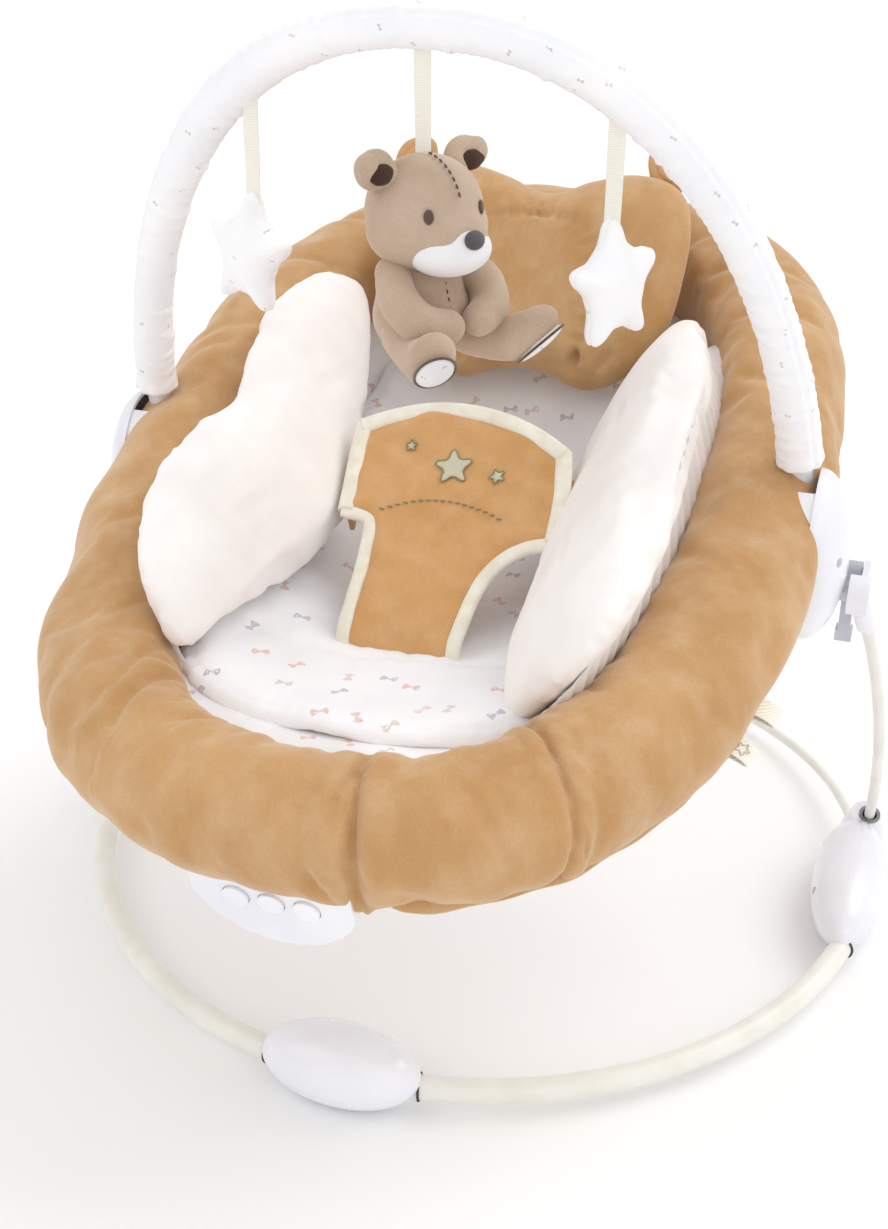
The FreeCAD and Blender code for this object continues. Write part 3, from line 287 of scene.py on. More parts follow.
def pillow(name, outline, half_thickness, edge, voxel, place, crown=0.0):
    """Stuffed pad cut to a flat outline: two faces that meet in a seam, laid out in space by place()."""
    outline = np.asarray(outline, float)
    count = len(outline)
    flat = [(x, y, z) for z in (-half_thickness, half_thickness) for x, y in outline]
    faces = [tuple(range(count))[::-1], tuple(range(count, 2 * count))]
    faces += [(i, (i + 1) % count, count + (i + 1) % count, count + i) for i in range(count)]
    piece = new_piece(name, flat, faces)
    remesh(piece, voxel)
    relax(piece, 5)
    co = coordinates(piece)
    gap, _ = distance_to(co[:, :2], outline, closed=True)
    rise = np.sqrt(np.clip(1 - (1 - np.clip(gap / edge, 0, 1)) ** 2, 0, 1))
    swell = 1 + crown * smooth_step(gap / max(gap.max(), 1e-6))
    co[:, 2] = np.clip(co[:, 2] / half_thickness, -1, 1) * half_thickness * (0.06 + 0.94 * rise) * swell
    move_to(piece, place(co))
    outward(piece)
    return piece


def frames_along(path, closed, up):
    """Unit tangent and two cross directions at each point of a path."""
    path = np.asarray(path, float)
    if closed:
        tangent = np.roll(path, -1, axis=0) - np.roll(path, 1, axis=0)
    else:
        tangent = np.gradient(path, axis=0)
    tangent /= np.linalg.norm(tangent, axis=1, keepdims=True)
    up = np.broadcast_to(np.asarray(up, float), path.shape)
    side = np.cross(tangent, up)
    side /= np.linalg.norm(side, axis=1, keepdims=True)
    return tangent, side, np.cross(side, tangent)


def unroll(piece, columns, step_round, step_along):
    """UV map in metres of a tube whose points are listed ring by ring."""
    layer = piece.data.uv_layers.new(name="cut")
    for polygon in piece.data.polygons:
        ring = [piece.data.loops[i].vertex_index for i in polygon.loop_indices]
        wraps = {v % columns for v in ring} == {0, columns - 1}
        for loop, vertex in zip(polygon.loop_indices, ring):
            place = columns if wraps and vertex % columns == 0 else vertex % columns
            layer.data[loop].uv = (place * step_round * MM, vertex // columns * step_along * MM)


def tube(name, path, half_side, half_up, up=(0, 0, 1), closed=False, around=8, square=2.0):
    """Tube along a path; its section is an ellipse, or a rounded flat strap when square is above 2."""
    path = np.asarray(path, float)
    _, side, over = frames_along(path, closed, up)
    angle = np.linspace(0, 2 * math.pi, around, endpoint=False)
    c, s = np.cos(angle), np.sin(angle)
    c = np.sign(c) * np.abs(c) ** (2 / square)
    s = np.sign(s) * np.abs(s) ** (2 / square)
    rings = (path[:, None] + (half_side * c)[None, :, None] * side[:, None]
             + (half_up * s)[None, :, None] * over[:, None])
    points = rings.reshape(-1, 3)
    faces = lattice(len(path), around, closed, True)
    if not closed:
        last = (len(path) - 1) * around
        faces += [tuple(range(around))[::-1], tuple(range(last, last + around))]
    piece = new_piece(name, points, faces)
    outward(piece)
    return piece


def ball(centre, semi, turn=None, rows=18, columns=28):
    """Points and faces of an egg, turned by a 3x3 matrix whose rows are its axes."""
    v = np.linspace(0, math.pi, rows)[1:-1]
    h = np.linspace(0, 2 * math.pi, columns, endpoint=False)
    ring = np.stack([np.outer(np.sin(v), np.cos(h)), np.outer(np.sin(v), np.sin(h)),
                     np.outer(np.cos(v), np.ones(columns))], 2).reshape(-1, 3)
    unit = np.vstack([ring, [[0, 0, 1]], [[0, 0, -1]]])
    faces = lattice(rows - 2, columns, False, True)
    top, low = len(ring), len(ring) + 1
    last = (rows - 3) * columns
    faces += [(top, (j + 1) % columns, j) for j in range(columns)]
    faces += [(low, last + j, last + (j + 1) % columns) for j in range(columns)]
    points = unit * np.asarray(semi, float)
    if turn is not None:
        points = points @ np.asarray(turn, float)
    return points + np.asarray(centre, float), faces


def joined(parts):
    """Several (points, faces) as one."""
    points, faces, base = [], [], 0
    for p, f in parts:
        points.append(p)
        faces += [tuple(base + i for i in face) for face in f]
        base += len(p)
    return np.vstack(points), faces


def plush(name, parts, voxel=2.2, rounds=6, place=None, puff=0.0):
    """Stuffed toy part: overlapping eggs melted into one soft skin."""
    points, faces = joined(parts)
    piece = new_piece(name, place(points) if place else points, faces)
    remesh(piece, voxel)
    relax(piece, rounds)
    if puff:
        inflate(piece, 3.0, puff, 12)
    refine(piece)
    return piece


def merge(name, pieces):
    """One piece from several meshes that keep their own materials."""
    mesh_points, mesh_faces, slots, materials, base = [], [], [], [], 0
    for piece in pieces:
        for material in piece.data.materials:
            if material not in materials:
                materials.append(material)
        co = coordinates(piece)
        mesh_points.append(co)
        for polygon in piece.data.polygons:
            mesh_faces.append(tuple(base + i for i in polygon.vertices))
            slots.append(materials.index(piece.data.materials[polygon.material_index]))
        base += len(co)
    for piece in pieces:
        bpy.data.objects.remove(piece)
    whole = new_piece(name, np.vstack(mesh_points), mesh_faces)
    for material in materials:
        whole.data.materials.append(material)
    whole.data.polygons.foreach_set("material_index", slots)
    return whole


def dress(piece, body, material, stands_for=()):
    """Finish of a piece: material, smooth faces, the body it rides on and the nodes it stands for."""
    if material is not None:
        piece.data.materials.clear()
        piece.data.materials.append(material)
    piece.data.shade_smooth()
    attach(piece, body)
    if stands_for:
        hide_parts(*stands_for)
    return piece


# ---------------------------------------------------------------- materials

def colour(code):
    """Linear colour of an sRGB hex code."""
    parts = [int(code[i:i + 2], 16) / 255 for i in (1, 3, 5)]
    return (*[p / 12.92 if p <= 0.04045 else ((p + 0.055) / 1.055) ** 2.4 for p in parts], 1.0)


# Ribs that a wave texture of scale 1 draws in one metre
WAVES_PER_UNIT = 3.18


class Shader:
    """A node material under construction around one Principled shader."""

    def __init__(self, name, **sockets):
        self.material = bpy.data.materials.new(name)
        self.material.use_nodes = True
        self.nodes = self.material.node_tree.nodes
        self.links = self.material.node_tree.links
        self.bsdf = self.nodes["Principled BSDF"]
        coordinates_node = self.nodes.new("ShaderNodeTexCoord")
        self.place, self.uv = coordinates_node.outputs["Object"], coordinates_node.outputs["UV"]
        self.height = None
        for socket, value in sockets.items():
            self.bsdf.inputs[socket.replace("_", " ")].default_value = value

    def value(self, socket, source):
        if isinstance(source, bpy.types.NodeSocket):
            self.links.new(source, socket)
        else:
            socket.default_value = source

    def add(self, kind, inputs, **settings):
        """New node; each input is a value or another node's output."""
        node = self.nodes.new("ShaderNode" + kind)
        for name, value in settings.items():
            setattr(node, name, value)
        for key, source in inputs.items():
            self.value(node.inputs[key], source)
        return node.outputs

    def noise(self, size, detail=2.0, roughness=0.5, stretch=(1, 1, 1)):
        """Noise whose features measure about size millimetres."""
        mapped = self.add("Mapping", {"Scale": stretch, "Vector": self.place})["Vector"]
        inputs = {"Scale": 1000.0 / size, "Detail": detail, "Roughness": roughness, "Vector": mapped}
        return self.add("TexNoise", inputs)["Fac"]

    def wave(self, pitch, direction="X", distortion=0.0):
        """Ribs of a given pitch in millimetres."""
        inputs = {"Scale": 1000.0 / pitch / WAVES_PER_UNIT, "Distortion": distortion, "Vector": self.place}
        return self.add("TexWave", inputs, bands_direction=direction)["Fac"]

    def maths(self, operation, a, b=0.0):
        return self.add("Math", {0: a, 1: b, 2: 0.0}, operation=operation)[0]

    def ramp(self, source, low, high, colour_low, colour_high):
        node = self.nodes.new("ShaderNodeValToRGB")
        elements = node.color_ramp.elements
        elements[0].position, elements[1].position = low, high
        elements[0].color, elements[1].color = colour_low, colour_high
        self.links.new(source, node.inputs["Fac"])
        return node.outputs["Color"]

    def tone(self, size, detail, shade, main):
        return self.ramp(self.noise(size, detail), 0.3, 0.7, colour(shade), colour(main))

    def mix(self, factor, a, b, blend="MIX"):
        inputs = {"Factor": factor, "A": a, "B": b}
        return self.add("Mix", inputs, data_type="RGBA", blend_type=blend)["Result"]

    def base(self, source):
        self.value(self.bsdf.inputs["Base Color"], source)

    def rough(self, source, low, high):
        spread = self.add("MapRange", {"To Min": low, "To Max": high, "Value": source})
        self.links.new(spread["Result"], self.bsdf.inputs["Roughness"])

    def bump(self, source, depth, strength):
        """Adds a relief of a given depth in millimetres on top of those already there."""
        inputs = {"Distance": depth * MM, "Strength": strength, "Height": source}
        if self.height is not None:
            inputs["Normal"] = self.height
        self.height = self.add("Bump", inputs)["Normal"]
        self.links.new(self.height, self.bsdf.inputs["Normal"])


def velour(name, deep, main, painted_sheen, sheen=0.55):
    """Short plush pile: large random patches of tone, patches lightened with a painted sheen colour where the
    nap lies another way, fine fibre and a soft sheen.
    """
    s = Shader(name, Sheen_Weight=sheen, Sheen_Roughness=0.45, Roughness=0.9, Specular_IOR_Level=0.15)
    s.bsdf.inputs["Sheen Tint"].default_value = (1.0, 0.9, 0.76, 1.0)
    nap = s.ramp(s.noise(80, 3, 0.55), 0.3, 0.7, colour(deep), colour(main))
    # Painted sheen: random patches are mixed towards the pale colour, which stands in for light caught by the
    # nap
    painted_sheen_patches = s.ramp(s.noise(24, 4, 0.6, (1, 1, 0.6)), 0.42, 0.8, (0, 0, 0, 1), (1, 1, 1, 1))
    tone = s.mix(s.maths("MULTIPLY", painted_sheen_patches, 0.45), nap, colour(painted_sheen))
    fibre = s.ramp(s.noise(0.9, 2, 0.6), 0.25, 0.75, (0.86, 0.86, 0.86, 1), (1.08, 1.08, 1.08, 1))
    s.base(s.mix(0.7, tone, fibre, "MULTIPLY"))
    s.rough(s.noise(9, 2), 0.78, 0.98)
    s.bump(s.noise(6, 3, 0.6), 0.7, 0.5)
    s.bump(s.noise(1.1, 2, 0.7), 0.35, 0.6)
    return s.material


def printed_cotton(name, tints, cell, motif, base="#f1f0f3", chance=0.7, crinkle=0.8, lean=None):
    """White woven cotton with scattered bow prints, laid on a plane that leans so far or on the UV map."""
    s = Shader(name, Roughness=0.85, Sheen_Weight=0.15, Specular_IOR_Level=0.25)
    vary = s.ramp(s.noise(60, 2), 0.3, 0.7, colour(base), colour("#f8f7f9"))
    tilt = (0 if lean is None else math.radians(lean), 0, 0)
    turn = s.add("Mapping", {"Rotation": tilt, "Vector": s.uv if lean is None else s.place})
    flat = s.add("Mapping", {"Scale": (1, 1, 0), "Vector": turn["Vector"]})["Vector"]
    scale = 1000.0 / cell
    cells = s.add("TexVoronoi", {"Scale": scale, "Randomness": 0.75, "Vector": flat}, voronoi_dimensions="2D")
    pick = s.add("SeparateColor", {"Color": cells["Color"]})
    here = s.add("VectorMath", {0: flat, "Scale": scale}, operation="SCALE")
    centre = s.add("VectorMath", {0: cells["Position"], "Scale": scale}, operation="SCALE")
    offset = s.add("VectorMath", {0: here[0], 1: centre[0]}, operation="SUBTRACT")
    angle = s.maths("MULTIPLY", pick["Red"], 6.28)
    spin = {"Axis": (0, 0, 1), "Vector": offset[0], "Angle": angle}
    turned = s.add("VectorRotate", spin, rotation_type="AXIS_ANGLE")
    split = s.add("SeparateXYZ", {"Vector": turned["Vector"]})
    across = s.maths("ABSOLUTE", split["X"])
    along = s.maths("ABSOLUTE", split["Y"])
    reach = motif / cell
    wing = s.maths("LESS_THAN", along, s.maths("ADD", s.maths("MULTIPLY", across, 0.62), 0.12 * reach))
    inside = s.maths("LESS_THAN", cells["Distance"], reach)
    shown = s.maths("LESS_THAN", pick["Green"], chance)
    frayed = s.maths("GREATER_THAN", s.noise(1.6, 2), 0.4)
    ink = s.maths("MULTIPLY", s.maths("MULTIPLY", wing, inside), s.maths("MULTIPLY", shown, frayed))
    tint = s.nodes.new("ShaderNodeValToRGB")
    tint.color_ramp.interpolation = "CONSTANT"
    elements = tint.color_ramp.elements
    elements[0].color = colour(tints[0])
    elements[1].position = 1.0 / len(tints)
    elements[1].color = colour(tints[1])
    for k, code in enumerate(tints[2:], 2):
        elements.new(k / len(tints)).color = colour(code)
    s.links.new(pick["Blue"], tint.inputs["Fac"])
    s.base(s.mix(s.maths("MULTIPLY", ink, 0.75), vary, tint.outputs["Color"]))
    s.bump(s.noise(13, 4, 0.6), crinkle, 0.6)
    s.bump(s.wave(0.7, "X"), 0.08, 0.4)
    s.bump(s.wave(0.7, "Z"), 0.08, 0.4)
    return s.material


def soft_fleece(name, main, shade):
    """Smooth short-pile fleece."""
    s = Shader(name, Roughness=0.92, Sheen_Weight=0.35, Sheen_Roughness=0.5, Specular_IOR_Level=0.15)
    tone = s.tone(40, 3, shade, main)
    fibre = s.ramp(s.noise(0.8, 2), 0.3, 0.7, (0.94, 0.94, 0.94, 1), (1.02, 1.02, 1.02, 1))
    s.base(s.mix(0.6, tone, fibre, "MULTIPLY"))
    s.bump(s.noise(11, 3), 0.6, 0.5)
    s.bump(s.noise(0.9, 2, 0.7), 0.2, 0.5)
    return s.material


def ribbed_ribbon(name, main, shade):
    """Grosgrain ribbon: close ribs across its width, with painted shade in the grooves between them."""
    s = Shader(name, Roughness=0.7, Sheen_Weight=0.2, Specular_IOR_Level=0.3)
    rib = s.wave(0.9, "Z", 0.3)
    # Painted shade: the same ribs as the bump, darker in their grooves
    s.base(s.ramp(rib, 0.1, 0.9, colour(shade), colour(main)))
    s.bump(rib, 0.15, 0.7)
    s.bump(s.noise(8, 2), 0.3, 0.4)
    return s.material


def binding_tape(name, main, shade):
    """Woven cotton binding."""
    s = Shader(name, Roughness=0.8, Sheen_Weight=0.2, Specular_IOR_Level=0.2)
    s.base(s.tone(14, 3, shade, main))
    s.bump(s.noise(5, 3, 0.6), 0.5, 0.5)
    s.bump(s.wave(0.6, "X", 0.5), 0.07, 0.5)
    return s.material


def thread(name, main, shade):
    """Satin-stitched embroidery, with painted shade between the strands."""
    s = Shader(name, Roughness=0.5, Sheen_Weight=0.3, Specular_IOR_Level=0.4)
    strand = s.wave(0.45, "DIAGONAL", 1.2)
    # Painted shade: the same strands as the bump, darker in the hollows between them
    s.base(s.ramp(strand, 0.15, 0.85, colour(shade), colour(main)))
    s.bump(strand, 0.2, 0.8)
    return s.material


def moulded(name, main, shade, roughness=0.22, coat=0.35):
    """Glossy moulded plastic with a slight orange peel and handling marks."""
    s = Shader(name, Coat_Weight=coat, Coat_Roughness=0.08, Specular_IOR_Level=0.5)
    s.base(s.tone(70, 2, shade, main))
    s.rough(s.noise(18, 4, 0.6), roughness - 0.05, roughness + 0.1)
    s.bump(s.noise(2.5, 2), 0.03, 0.35)
    return s.material


def coated_metal(name, main, shade, metallic=0.0, roughness=0.3, grain=(1, 1, 1)):
    """Powder-coated or bare drawn metal."""
    s = Shader(name, Metallic=metallic, Specular_IOR_Level=0.5)
    s.base(s.tone(30, 3, shade, main))
    s.rough(s.noise(6, 4, 0.6, grain), roughness - 0.06, roughness + 0.1)
    s.bump(s.noise(0.9, 3), 0.04, 0.5)
    return s.material


def dull_rubber(name, main, shade):
    s = Shader(name, Specular_IOR_Level=0.3)
    s.base(s.tone(8, 4, shade, main))
    s.rough(s.noise(3, 3), 0.65, 0.9)
    s.bump(s.noise(1.2, 3), 0.1, 0.6)
    return s.material


# The third colour of each velour is a painted sheen tone
TAN = velour("tan_velour", "#ba8d5b", "#c99e6e", "#dcbf9b")
TAN_INNER = velour("tan_velour_panel", "#c8985f", "#d6a571", "#e3bd92", 0.4)
TAUPE = velour("taupe_plush", "#b39b85", "#c4ad98", "#d6c4b1", 0.4)
DARK_PLUSH = velour("dark_brown_plush", "#35251d", "#4c372b", "#5f473a", 0.25)
WHITE_PLUSH = soft_fleece("white_plush", "#f1f0f1", "#e3e2e4")
SEAT_LEAN = -16.1
PLUMB = -90.0
PASTELS = ("#e0b3a2", "#d6c7b6", "#bab2bd", "#e3c1b8")
QUILT = printed_cotton("printed_quilt_cotton", PASTELS, 27, 5.4, chance=0.65, lean=SEAT_LEAN)
# Painted shade: the liner's cotton on a greyer base, standing in for the shade that falls under the liner and
# beside the bolsters
SHADED_SLING_QUILT = printed_cotton("sling_cotton_painted_shade", PASTELS, 30, 4.6, "#e6e3e2", 0.5, 1.4, SEAT_LEAN)
SLEEVE_PRINT = ("#d3c1ae", "#bcb9be", "#dccbbb")
STAR_PRINT = ("#c6c1c4", "#d2c4b6", "#bfbcc2")
SOLE_PRINT = ("#a9a3b5", "#c29a8a", "#8f93a5")
COVER = printed_cotton("star_print_cotton", SLEEVE_PRINT, 19, 2.0, "#f1f2f6", 0.5, 1.1)
STAR_COTTON = printed_cotton("dotted_cotton", STAR_PRINT, 16, 1.3, "#f5f6f8", 0.35, 0.5, PLUMB)
SOLE_COTTON = printed_cotton("sole_cotton", SOLE_PRINT, 8, 1.3, "#dcdce0", 0.6, 0.2, PLUMB)
FLEECE = soft_fleece("cream_fleece", "#fcf9f7", "#f5f0ed")
RIBBON = ribbed_ribbon("cream_ribbon", "#f9f6ec", "#e8e3d5")
BINDING = binding_tape("cream_binding", "#f3efe2", "#e4ddca")
BROWN_THREAD = thread("brown_thread", "#6a5142", "#463329")
GREY_THREAD = thread("dark_grey_thread", "#5c5456", "#3c3638")
CREAM_THREAD = thread("cream_thread", "#e9e4cf", "#b9b493")
SAGE_THREAD = thread("sage_thread", "#a09a78", "#77724f")
SHELL = moulded("white_moulded_shell", "#f1f1f6", "#e7e7ee")
BUTTON = moulded("white_button", "#f4f4f8", "#e9e9ef", 0.28, 0.2)
GREY_PLASTIC = moulded("grey_lever", "#c9cad2", "#b9bac4", 0.35, 0.1)
TUBE_PAINT = coated_metal("cream_white_paint", "#f0efe8", "#e6e4da")
STEEL_PAINT = coated_metal("white_coated_steel", "#dedee0", "#cfcfd2", 0.2, 0.35)
SCREW = coated_metal("zinc_screw", "#a9abb0", "#7e8086", 0.9, 0.3, (1, 1, 6))
RUBBER = dull_rubber("grey_rubber", "#8f9198", "#74767d")
# Painted shade for the gaps where the front loop goes into its pods
GAP_SHADE = dull_rubber("painted_gap_shade", "#4b4c52", "#33343a")
BOARD = moulded("green_board", "#2f6b45", "#24563a", 0.4, 0.2)
CELL = coated_metal("cell_sleeve", "#b7b9bd", "#8f9196", 0.7, 0.3)
BLACK = dull_rubber("speaker_cone", "#2b2b2e", "#1c1c1f")

NODE_FINISH = {
    "shell_white": SHELL,
    "button_white": BUTTON,
    "lever_grey": GREY_PLASTIC,
    "tube_white": TUBE_PAINT,
    "frame_steel": STEEL_PAINT,
    "screw_steel": SCREW,
    "rubber_grey": RUBBER,
    "board_green": BOARD,
    "cell_metal": CELL,
    "speaker_black": BLACK,
}
for part in frame["record"]["subparts"]:
    if part["material_slot"] in NODE_FINISH:
        slots = frame["nodes"][part["node"]].data.materials
        slots.clear()
        slots.append(NODE_FINISH[part["material_slot"]])


# ---------------------------------------------------------------- rolled rim

# Place round the roll in degrees from its front, depth, width in degrees, the two section angles it
# runs between, and slant
ROLL_CREASES = (
    (10.0, 8.5, 0.7, -80, 155, -0.003),
    (36.0, 4.3, 0.7, -65, 155, 0.03),
    (-30.0, 5.5, 1.1, 58, 170, -0.11),
    (-40.0, 4.3, 1.1, 86, 170, -0.22),
    (-17.0, 3.4, 1.2, 76, 155, 0.12),
    (-53.0, 2.5, 1.3, 88, 150, -0.12),
    (25.0, 3.4, 0.8, 10, 90, -0.05),
    (28.0, 2.6, 0.9, 10, 80, -0.03),
    (33.5, 2.2, 0.8, 70, 130, 0.08),
    (8.4, 4.6, 0.6, 55, 120, 0.05),
    (5.4, 4.6, 0.6, -30, 32, -0.09),
    (5.0, 2.6, 0.9, -20, 58, -0.05),
    (-72.0, 3.0, 1.6, 70, 160, -0.05),
    (78.0, 2.6, 1.5, 80, 160, 0.05),
    (104.0, 3.5, 1.6, 40, 150, 0.06),
    (118.0, 3.2, 1.5, 40, 150, 0.04),
    (133.0, 4.0, 1.7, 30, 150, 0.08),
    (147.0, 3.8, 1.5, 40, 150, 0.06),
    (165.0, 4.2, 1.5, 20, 150, 0.0),
    (-104.0, 3.2, 1.6, 40, 150, -0.06),
    (-122.0, 3.6, 1.6, 40, 150, -0.05),
    (-138.0, 3.8, 1.6, 30, 150, -0.08),
    (-156.0, 4.0, 1.6, 20, 150, -0.03),
)
ROLL_SEAM_TIP = (10.3, -38.0)


def roll_centre(theta):
    """Centre line of the roll: a rounded oval that rises to the head and dips between its ends."""
    s, c = np.sin(theta), np.cos(theta)
    across = np.sign(s) * np.abs(s) ** 0.88
    along = np.sign(c) * np.abs(c) ** 0.88
    x = ROLL_HALF_W * across * (1 - 0.03 * along + 0.06 * along**2)
    y = SEAT_Y - ROLL_HALF_L * along
    t = -along
    z = 339 + 114.2 * t + 3.5 * t**2 - 28.3 * t**3
    return np.stack([x, y, z], -1)


def roll_frames(theta):
    centre = roll_centre(theta)
    tangent = roll_centre(theta + 0.004) - roll_centre(theta - 0.004)
    tangent /= np.linalg.norm(tangent, axis=-1, keepdims=True)
    out_of_seat = np.array([0, -math.sin(SEAT_TILT), math.cos(SEAT_TILT)])
    up = out_of_seat - (tangent @ out_of_seat)[..., None] * tangent
    up /= np.linalg.norm(up, axis=-1, keepdims=True)
    side = np.cross(tangent, up)
    inward = np.einsum("...i,...i->...", side, centre - np.array([0, SEAT_Y, SEAT_Z])) < 0
    side[inward] *= -1
    return centre, side, up


def around_gap(a, b):
    return (a - b + 180) % 360 - 180


def roll_relief(theta, phi):
    """Height of the fabric over the plain roll, from its seams, tucks and lumps (degrees)."""
    relief = np.zeros(np.broadcast(theta, phi).shape)
    for place, depth, width, low, high, slant in ROLL_CREASES:
        middle = (low + high) / 2
        gap = around_gap(theta, place + slant * (phi - middle))
        reach = smooth_step((phi - low) / 18) * smooth_step((high - phi) / 25)
        fold, valley = np.exp(-np.abs(gap) / (0.4 * width)), np.exp(-(gap / (1.3 * width)) ** 2)
        relief -= depth * reach * (0.7 * fold + 0.45 * valley)
        puff = np.exp(-((np.abs(gap) - 3.2 * width) / (2.0 * width)) ** 2)
        relief += 0.14 * depth * reach * puff
    turn = np.radians(theta)
    gather = np.sin(turn * 61 + 2.2 * np.sin(turn * 7)) * np.sin(turn * 17)
    beside_hub = np.exp(-(((np.abs(theta) - 91) / 10.5) ** 4))
    beside_hub = beside_hub * smooth_step((phi + 100) / 30) * smooth_step((92 - phi) / 45)
    relief -= np.where(theta > 0, 1.5, 1.0) * beside_hub
    relief += 0.9 * gather * smooth_step((phi - 95) / 45) * smooth_step((185 - phi) / 30)
    relief += 0.7 * gather * smooth_step((-5 - phi) / 30) * smooth_step((phi + 75) / 25)
    return relief


def make_roll():
    columns = 56
    beside = np.linspace(-2.4, 2.4, 17)
    close = [place + slant * (30 - (low + high) / 2) + beside
             for place, depth, _, low, high, slant in ROLL_CREASES if depth > 4.2]
    theta = np.unique(np.concatenate([np.linspace(-180, 180, 400, endpoint=False)] + close))
    theta = np.radians(theta[np.append(np.diff(theta) > 0.22, True)])
    rows = len(theta)
    phi = np.linspace(-math.pi / 2, 1.5 * math.pi, columns, endpoint=False)
    centre, side, up = roll_frames(theta)
    t, p = np.meshgrid(theta, phi, indexing="ij")
    rounding = 1 + 0.05 * np.cos(2 * p) - 0.03 * np.cos(t)
    radius = ROLL_R * rounding + roll_relief(np.degrees(t), np.degrees(p))
    tip = np.exp(-(around_gap(np.degrees(t), ROLL_SEAM_TIP[0]) / 1.1) ** 2)
    tip = tip * np.exp(-((np.degrees(p) - ROLL_SEAM_TIP[1]) / 10) ** 2)
    radius += 13 * tip
    points = section(centre, radius, p, side, up).reshape(-1, 3)
    radial = points - np.repeat(centre, columns, axis=0)
    radial /= np.linalg.norm(radial, axis=1, keepdims=True)
    points += radial * (1.3 * lumps(points, 95, 3) + 0.7 * lumps(points, 38, 4))[:, None]
    roll = new_piece("velour_roll", points, lattice(rows, columns, True, True))
    outward(roll)
    sunk = np.abs(p - math.radians(-25)) + 0.02 * np.abs(np.degrees(t) + 14) < 0.55
    sunk |= tip > 0.15
    for place, depth, _, low, high, slant in ROLL_CREASES:
        middle = (low + high) / 2
        gap = np.abs(around_gap(np.degrees(t), place + slant * (np.degrees(p) - middle)))
        inside = (np.degrees(p) > low + 8) & (np.degrees(p) < high - 10)
        sunk |= (gap < 0.45) & inside & (depth > 2.4)
    inflate(roll, 3.0, 3.0, 12, held=sunk.ravel(), slack=0.02)
    refine(roll)
    return dress(roll, "seat", TAN, ("rim_cushion",))


def make_roll_edge():
    """Folded lower edge of the cover, which stands out below the roll all round."""
    rows, columns = 360, 14
    theta = np.linspace(-math.pi, math.pi, rows, endpoint=False)
    centre, side, up = roll_frames(theta)
    degrees = np.degrees(theta)
    proud = -7 + 8.5 * smooth_step((degrees - 10) / 5) * smooth_step((122 - degrees) / 20)
    proud = proud + 6.5 * smooth_step((-30 - degrees) / 12) * smooth_step((degrees + 125) / 20)
    proud = proud + 0.5 * np.sin(theta * 23) + 0.4 * np.sin(theta * 41 + 1)
    over_module = smooth_step((degrees + 30) / 12) * smooth_step((12 - degrees) / 6)
    proud += 1.5 * over_module
    lean = np.radians(-36 + 24 * over_module)[:, None]
    outward_way = np.cos(lean) * side + np.sin(lean) * up
    across_way = -np.sin(lean) * side + np.cos(lean) * up
    angle = np.linspace(0, 2 * math.pi, columns, endpoint=False)
    middle = centre + (ROLL_R - 7 + proud)[:, None] * outward_way
    reach = (8 + 0.5 * proud)[:, None] * np.cos(angle)
    thick = 4.5 * np.sin(angle)
    points = (middle[:, None] + reach[..., None] * outward_way[:, None]
              + thick[None, :, None] * across_way[:, None])
    edge = new_piece("velour_roll_edge", points.reshape(-1, 3), lattice(rows, columns, True, True))
    outward(edge)
    return dress(edge, "seat", TAN)


make_roll()
make_roll_edge()


# ---------------------------------------------------------------- sling and liner

def bowl(w, u):
    """Depth of the sling below the plane of the rim."""
    along = 1 - np.clip(np.abs((u - BOWL_DEEPEST) / BOWL_HALF_L), 0, 1) ** 1.45
    across = 1 - np.clip(np.abs(w / BOWL_HALF_W), 0, 1) ** 2.4
    return -BOWL_DEPTH * along * across


def make_sling():
    rings, spokes = 46, 200
    angle = np.linspace(0, 2 * math.pi, spokes, endpoint=False)
    reach = np.linspace(0.01, 1, rings)
    w = np.outer(reach, 176 * np.sign(np.sin(angle)) * np.abs(np.sin(angle)) ** 0.9)
    u = np.outer(reach, -284 * np.sign(np.cos(angle)) * np.abs(np.cos(angle)) ** 0.9) + 4
    floor = bowl(w, u)
    channels = 1.3 * np.abs(np.sin(math.pi * u / 17 + 0.6 * np.sin(w / 23)))
    near_rim = smooth_step((np.abs(w) - 90) / 40)
    floor = floor + 5 * smooth_step((-190 - u) / 40)
    top = floor + channels * near_rim + 0.8
    low = floor - 3.2 - 0.8 * np.sin(u / 29) * np.sin(w / 31)
    sheet = [seat_point(np.stack([w.ravel(), u.ravel(), n.ravel()], 1)) for n in (top, low)]
    points = np.vstack(sheet)
    top_faces = lattice(rings, spokes, False, True)
    count = rings * spokes
    faces = top_faces + [tuple(count + i for i in face[::-1]) for face in top_faces]
    last = (rings - 1) * spokes
    edge = [(last + j, last + (j + 1) % spokes) for j in range(spokes)]
    faces += [(a, b, count + b, count + a) for a, b in edge]
    faces += [tuple(range(spokes))[::-1], tuple(range(count, count + spokes))]
    sling = new_piece("sling_cloth", points, faces)
    outward(sling)
    # Its greyer cotton is painted shade
    return dress(sling, "seat", SHADED_SLING_QUILT, ("seat_sling",))


LINER_HALF = [(0, -247), (45, -243), (82, -231), (110, -212), (124, -186), (128, -140), (126, -60), (122, 40),
              (114, 130), (98, 190), (60, 222), (0, 232)]


